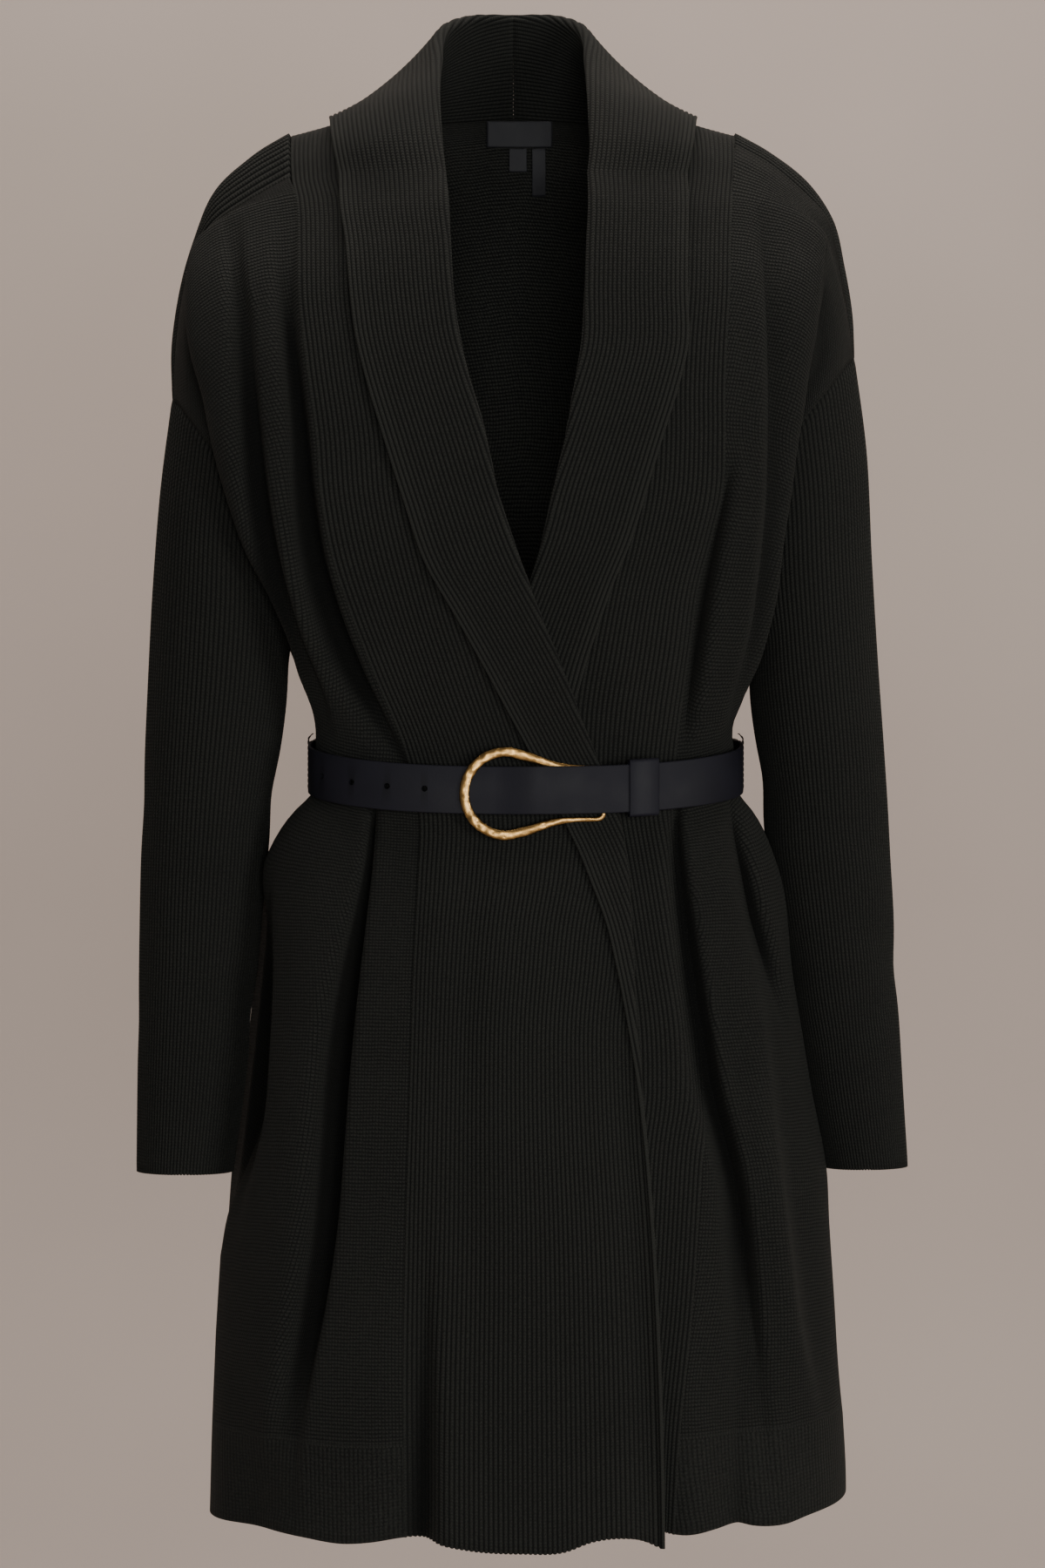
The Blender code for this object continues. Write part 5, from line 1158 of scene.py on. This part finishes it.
# the back's inner face takes the paler finish, as painted light inside the back
knitPiece("backPanel", gridMesh("backPanel", grid, uv=hemUv(grid)), finishes["purl"], "back",
          1, inside=finishes["inside"])


# The strap starts at the buckle's cross bar (startPast), and from near on its tail lies over it.
beltSizes = {"width": 30 * mm, "thick": 2.6 * mm, "corner": 0.8 * mm, "wornEdge": 0.9 * mm,
             "hole": 3.8 * mm, "holeStep": 24 * mm, "holes": 4, "firstHole": -61 * mm,
             "punch": 12 * mm, "startPast": 1.9 * mm, "near": -60 * mm, "tailEnd": 81 * mm,
             "tailCorner": 6 * mm, "tailNarrow": 0.12, "tailRise": 3.7 * mm,
             "tailSettle": 0.7 * mm, "rings": 190, "tailRings": 120, "sharp": math.radians(32)}
keeperSizes = {"x": 75 * mm, "width": 18 * mm, "height": 36 * mm, "thick": 1.3 * mm,
               "fit": 0.4 * mm, "outerCorner": 2.2 * mm, "innerCorner": 1.2 * mm,
               "edge": 0.4 * mm, "worn": 0.6}
# Horseshoe buckle: the bar narrows towards its closed end, and hammering leaves small dents.
buckleSizes = {"left": -36 * mm, "radius": 26 * mm, "end": 50.5 * mm, "z": -426 * mm,
               "bar": 6.2 * mm, "narrowed": 3.2 * mm, "thick": 2.8 * mm, "stands": 3.2 * mm,
               "dips": 2.9 * mm, "dent": 0.05, "around": 16, "square": 0.75}
# Upper half of the closed end and the waist of the horseshoe, in millimetres.
buckleShoulder = ((50.5, 0), (50.5, 8), (50.5, 13), (48, 15.6), (42, 16), (33, 16.2), (25, 16.9),
                  (15, 19.2), (4, 22.8), (-4, 25))
# Thread loop: two twisted strands on a route that bends in above and below the belt.
carrierSizes = {"thread": 0.7 * mm, "strand": 0.37 * mm, "twist": 0.33 * mm, "turn": 0.42,
                "points": 90, "sides": 8, "fit": 0.4 * mm, "above": 1.2 * mm, "bend": 1.6 * mm,
                "bentIn": 0.6, "end": 3.4 * mm}


def beltOutline():
    # the belt's line round the waist in four quarters, with the length up to each point
    quarters = []
    for half, full, tip, facing in ((belt["left"], belt["front"], belt["frontTip"], -1),
                                    (belt["left"], belt["back"], belt["backTip"], 1),
                                    (-belt["right"], belt["back"], belt["backTip"], 1),
                                    (-belt["right"], belt["front"], belt["frontTip"], -1)):
        turned = np.linspace(0, math.pi / 2, 400)
        x = half * np.sin(turned) ** (2 / belt["power"])
        y = facing * (tip + (full - tip) * np.cos(turned) ** (2 / belt["power"]))
        ahead = np.sign(half) * -facing > 0
        quarters.append(np.column_stack((x, y)) if ahead else np.column_stack((x, y))[::-1])
    line = np.concatenate(quarters + [quarters[0][:1]])
    keep = np.concatenate(([True], np.linalg.norm(np.diff(line, axis=0), axis=1) > 1e-7))
    line = line[keep]
    return line, np.pad(np.cumsum(np.linalg.norm(np.diff(line, axis=0), axis=1)), (1, 0))


beltLine, beltPlaces = beltOutline()
beltLength = beltPlaces[-1]


def beltLevel(at):
    at = at % beltLength
    return np.array([np.interp(at, beltPlaces, beltLine[:, k]) for k in (0, 1)])


def beltPoint(place, out=0.0, up=0.0):
    # a point at a length round the belt, moved outwards and upwards from its middle
    x, y = beltLevel(place)
    ahead = beltLevel(place + 2 * mm) - beltLevel(place - 2 * mm)
    normal = np.array((ahead[1], -ahead[0], 0)) / np.linalg.norm(ahead)
    end, endY = (belt["zFront"], belt["front"]) if y < 0 else (belt["zBack"], belt["back"])
    z = belt["zSide"] + (end - belt["zSide"]) * (y / endY) ** 2
    return np.array((x, y, z + up)) + normal * out


def frontPlace(x):
    # length round the belt at which its front passes a place across the body
    quarter = len(beltLine) // 8
    if x >= 0:
        return np.interp(x, beltLine[:quarter, 0], beltPlaces[:quarter])
    return np.interp(x, beltLine[-quarter:, 0], beltPlaces[-quarter:])


def tailOut(x):
    # the tail rises over the buckle's arms and then lies on the belt's other end
    return (beltSizes["tailRise"] * ramp(-18 * mm, 10 * mm, x)
            - beltSizes["tailSettle"] * ramp(52 * mm, 62 * mm, x))


def buckleOut(x):
    # the buckle's round end lies on the strap and its arms dip under the tail
    return buckleSizes["stands"] - buckleSizes["dips"] * ramp(-14 * mm, 16 * mm, x)


def roundedBox(halfOut, halfUp, corner, steps=4):
    # section of a flat strip with rounded edges, as (out, up) places round it
    places = []
    for a, b in ((1, 1), (-1, 1), (-1, -1), (1, -1)):
        for t in np.linspace(0, math.pi / 2, steps):
            c, s = (math.cos(t), math.sin(t)) if a * b > 0 else (math.sin(t), math.cos(t))
            places.append((a * (halfOut - corner + corner * c), b * (halfUp - corner + corner * s)))
    return places


def strapMesh():
    # one strip from the buckle's bar round the waist, over itself to the tail's end
    size = beltSizes
    start = frontPlace(buckleSizes["end"] + size["startPast"])
    near = frontPlace(size["near"])
    last = beltLength + frontPlace(size["tailEnd"])
    places = np.concatenate((np.linspace(start, near, size["rings"]),
                             np.linspace(near, last, size["tailRings"])[1:]))
    rings = []
    section = roundedBox(size["thick"] / 2, size["width"] / 2, size["corner"])
    for place in places:
        out = tailOut(beltPoint(place)[0]) if place >= near else 0
        # the tail's corners are cut round at its end
        short = 1 - size["tailNarrow"] * float(ramp(last - size["tailCorner"], last, place))
        rings.append([beltPoint(place, out + u, v * short) for u, v in section])
    mesh = skinMesh("strap", [rings], False)
    worn = [1.0 if abs(v) > size["width"] / 2 - size["wornEdge"] else 0.0 for u, v in section]
    storeValues(mesh, "worn", np.tile(worn, len(rings)))
    return mesh


def punchHoles(piece):
    # round holes through the strap, beside the buckle's round end
    size = beltSizes
    cutters = []
    for i in range(size["holes"]):
        place = frontPlace(size["firstHole"]) - i * size["holeStep"]
        middle = beltPoint(place)
        outward = beltPoint(place, 1) - middle
        mesh = bpy.data.meshes.new("punch")
        bm = bmesh.new()
        bmesh.ops.create_cone(bm, cap_ends=True, segments=32, radius1=size["hole"] / 2,
                              radius2=size["hole"] / 2, depth=size["punch"])
        bm.to_mesh(mesh)
        bm.free()
        punch = addObject("punch", mesh)
        punch.location = middle
        punch.rotation_euler = (math.pi / 2, 0, math.atan2(outward[1], outward[0]) + math.pi / 2)
        cut = piece.modifiers.new("hole", 'BOOLEAN')
        cut.object = punch
        cut.operation = 'DIFFERENCE'
        cutters.append(punch)
    bpy.context.view_layer.update()
    settle(piece)
    piece.data.set_sharp_from_angle(angle=size["sharp"])
    for punch in cutters:
        bpy.data.objects.remove(punch)


def smoothLoop(loop, steps):
    # smooth closed curve through these places
    count = len(loop)
    fine = []
    for i in range(count):
        a, b, c, d = (loop[(i + k - 1) % count] for k in range(4))
        for t in np.linspace(0, 1, steps + 1)[:-1]:
            fine.append(0.5 * (2 * b + (c - a) * t + (2 * a - 5 * b + 4 * c - d) * t * t
                               + (3 * b - a - 3 * c + d) * t ** 3))
    return np.array(fine)


def buckleMesh():
    # a bar swept round the horseshoe's outline, as the belt curves
    size = buckleSizes
    radius, centreX = size["radius"], size["left"] + size["radius"]
    upper = [(x * mm, z * mm) for x, z in buckleShoulder]
    upper += [(centreX + radius * math.cos(a), radius * math.sin(a))
              for a in np.linspace(math.radians(88), math.radians(180), 10)]
    fine = smoothLoop(np.array(upper + [(x, -z) for x, z in upper[-2:0:-1]]), 6)
    tangents = np.roll(fine, -1, axis=0) - np.roll(fine, 1, axis=0)
    tangents /= np.linalg.norm(tangents, axis=1)[:, None]
    rng = np.random.default_rng(4)
    dents = rng.normal(0, size["dent"], (len(fine), size["around"]))
    dents = (dents + np.roll(dents, 1, axis=0) + np.roll(dents, -1, axis=0)) / 2
    rings = []
    for (x, z), (tx, tz), dent in zip(fine, tangents, dents):
        place = frontPlace(x)
        base = beltPoint(place)
        ahead = beltPoint(place + 1 * mm) - beltPoint(place - 1 * mm)
        ahead[2] = 0
        ahead /= np.linalg.norm(ahead)
        out = beltPoint(place, 1) - base
        centre = np.array((base[0], base[1], size["z"] + z)) + out * buckleOut(x)
        across = ahead * -tz + np.array((0, 0, tx))
        width = size["bar"] - size["narrowed"] * ramp(-5 * mm, 46 * mm, x)
        ring = []
        for j, a in enumerate(np.linspace(0, 2 * math.pi, size["around"] + 1)[:-1]):
            c, s = (math.copysign(abs(value) ** size["square"], value)
                    for value in (math.cos(a), math.sin(a)))
            ring.append(centre + across * width / 2 * c * (1 + dent[j])
                        + out * size["thick"] / 2 * s * (1 + dent[j]))
        rings.append(ring)
    return skinMesh("buckle", [rings], True)


def keeperMesh():
    # leather loop that holds the tail on the belt
    size = keeperSizes
    low = -beltSizes["thick"] / 2 - size["fit"]
    high = tailOut(size["x"]) + beltSizes["thick"] / 2 + size["fit"]
    middle = (low + high) / 2
    outer = roundedBox((high - low) / 2 + size["thick"], size["height"] / 2, size["outerCorner"], 6)
    inner = roundedBox((high - low) / 2, size["height"] / 2 - size["thick"], size["innerCorner"], 6)
    # round the leather's own thickness: outer face, rounded edge, inner face, rounded edge; the
    # last value is 1 where the leather is worn
    half = size["width"] / 2
    short = half - size["edge"]
    route = ((-short, 0, 1), (short, 0, 1), (half, 0.3, 1), (half, 0.7, 1),
             (short, 1, 0), (-short, 1, 0), (-half, 0.7, 1), (-half, 0.3, 1))
    rings = []
    for x, mix, worn in route:
        place = frontPlace(size["x"] + x)
        rings.append([beltPoint(place, middle + a[0] * (1 - mix) + b[0] * mix,
                                a[1] * (1 - mix) + b[1] * mix) for a, b in zip(outer, inner)])
    mesh = skinMesh("keeper", [rings], True)
    storeValues(mesh, "worn", np.repeat([worn * size["worn"] for x, mix, worn in route], len(outer)))
    return mesh


def carrierMesh(side):
    # thread loop of two strands twisted together, held in the side seam above and below
    size = carrierSizes
    place = beltLength * (0.25 if side > 0 else 0.75)
    reach = beltSizes["width"] / 2 + size["above"]
    close = -beltSizes["thick"] / 2 + size["thread"]
    far = beltSizes["thick"] / 2 + size["fit"] + size["thread"]
    bent = far * size["bentIn"]
    route = np.array(((close, reach + size["end"], 0), (bent, reach + size["bend"], 0),
                      (far, reach, 0), (far, 0, 0), (far, -reach, 0),
                      (bent, -reach - size["bend"], 0), (close, -reach - size["end"], 0)))
    line = resample(route, size["points"])
    around = np.linspace(0, 2 * math.pi, size["sides"] + 1)[:-1]
    strands = []
    for strand in (0, math.pi):
        rings = []
        for i, (out, up, zero) in enumerate(line):
            turned = strand + i * size["turn"]
            rings.append([beltPoint(
                place + size["twist"] * math.sin(turned) + size["strand"] * math.cos(a),
                out + size["twist"] * math.cos(turned) + size["strand"] * math.sin(a), up)
                for a in around])
        strands.append(rings)
    mesh = skinMesh("carrier", strands, False)
    mesh.uv_layers.new(name="cloth")
    return mesh


strap = plainPiece("beltStrap", strapMesh(), finishes["strap"], "belt_strap")
punchHoles(strap)
plainPiece("beltBuckle", buckleMesh(), finishes["brass"], "belt_buckle")
plainPiece("beltKeeper", keeperMesh(), finishes["keeper"], "belt_keeper")
for side, word in ((-1, "right"), (1, "left")):
    plainPiece("beltCarrier." + word, carrierMesh(side), finishes["thread"],
               "belt_carrier_" + word)


# Bare woven tabs in the neck: piece, middle, width, height and distance behind the first one.
tabs = {"label_main": {"piece": "tabMain", "x": -2, "z": 7.5, "width": 44, "height": 17, "off": 0},
        "label_size": {"piece": "tabSize", "x": -3, "z": -9.2, "width": 12, "height": 15, "off": 0.9},
        "label_care": {"piece": "tabCare", "x": 11, "z": -16.7, "width": 9, "height": 30, "off": 0.9}}
tabSizes = {"thick": 0.5 * mm, "clear": 2.5 * mm, "curl": 0.5 * mm, "curlTurn": 90,
            "columns": 25, "rows": 19}


def tabMesh(name):
    # a bare ribbon tab, sewn by its top edge, its free end standing a little off the knit
    tab, size = tabs[name], tabSizes
    centreX, centreZ, width, height = (tab[key] * mm for key in ("x", "z", "width", "height"))
    lift = -wall / 2 - size["clear"] - tab["off"] * mm
    x = np.linspace(centreX - width / 2, centreX + width / 2, size["columns"])
    lines = []
    for t in np.linspace(0, 1, size["rows"]):
        z = centreZ + height / 2 - height * t
        curl = size["curl"] * t * t * np.cos(x * size["curlTurn"])
        lines.append(bodyPoint(x, z, lift - curl, True))
    return gridMesh(name, np.array(lines))


for name, tab in tabs.items():
    mesh = tabMesh(name)
    piece = addObject(tab["piece"], mesh)
    mesh.materials.append(finishes["satin"])
    thicken(piece, tabSizes["thick"], 0)
    settle(piece)
    declare(piece, name)


# Seamless paper: a floor where the wearer's feet would be, curving up into a wall behind.
paperSizes = {"floor": -1.45, "bend": 0.9, "wall": 2.6, "top": 3.4, "half": 4.5, "columns": 7,
              "bendRows": 16}
lights = {
    "key": {"place": (2.3, -2.9, -0.35), "target": (0, 0, -0.5), "size": 1.2, "power": 45,
            "colour": "#fffdf8"},
    "fill": {"place": (0.3, -3.9, -0.5), "target": (0, 0, -0.5), "size": 1.2, "power": 66,
             "colour": "#fdfdfc"},
    "above": {"place": (0.3, -1.3, 2.3), "target": (0, 0, -0.3), "size": 1.4, "power": 4,
              "colour": "#ffffff"},
    "backdrop": {"place": (0, 0.6, 2.2), "target": (0, 2.6, -0.3), "size": 2.4, "power": 96,
                 "colour": "#fff4eb"}}
cameraSizes = {"place": (0, -3.5, -0.42), "sensor": 24, "lens": 83.3}


def paperStage():
    size = paperSizes
    bendY, bend = size["wall"] - size["bend"], size["bend"]
    profile = [(-size["half"], size["floor"]), (bendY, size["floor"])]
    profile += [(bendY + bend * math.sin(a), size["floor"] + bend - bend * math.cos(a))
                for a in np.linspace(0, math.pi / 2, size["bendRows"])[1:]]
    profile.append((size["wall"], size["top"]))
    across = np.linspace(-size["half"], size["half"], size["columns"])
    mesh = gridMesh("paper", np.array([[(x, y, z) for x in across] for y, z in profile]))
    mesh.materials.append(finishes["paper"])
    addObject("paper", mesh)


def areaLight(name, place, target, size, power, colour):
    lamp = bpy.data.lights.new(name, 'AREA')
    lamp.shape = 'SQUARE'
    lamp.size = size
    lamp.energy = power
    lamp.color = linear(colour)[:3]
    held = addObject(name, lamp)
    held.location = place
    aim = np.array(target) - np.array(place)
    held.rotation_euler = (math.acos(-aim[2] / np.linalg.norm(aim)), 0,
                           math.atan2(-aim[0], aim[1]))


def setCamera():
    seen = bpy.data.cameras.new("camera")
    seen.sensor_fit = 'VERTICAL'
    seen.sensor_height = cameraSizes["sensor"]
    seen.lens = cameraSizes["lens"]
    held = addObject("camera", seen)
    held.location = cameraSizes["place"]
    held.rotation_euler = (math.pi / 2, 0, 0)
    bpy.context.scene.camera = held


def setWorld():
    world = bpy.data.worlds.new("studio")
    world.use_nodes = True
    setInputs(world.node_tree, world.node_tree.nodes["Background"],
              {"Color": linear("#c9c3bf"), "Strength": 0.22})
    bpy.context.scene.world = world


paperStage()
for name, light in lights.items():
    areaLight(name, **light)
setWorld()
setCamera()
print("stage: floor, lights and camera")

print("stage: done")
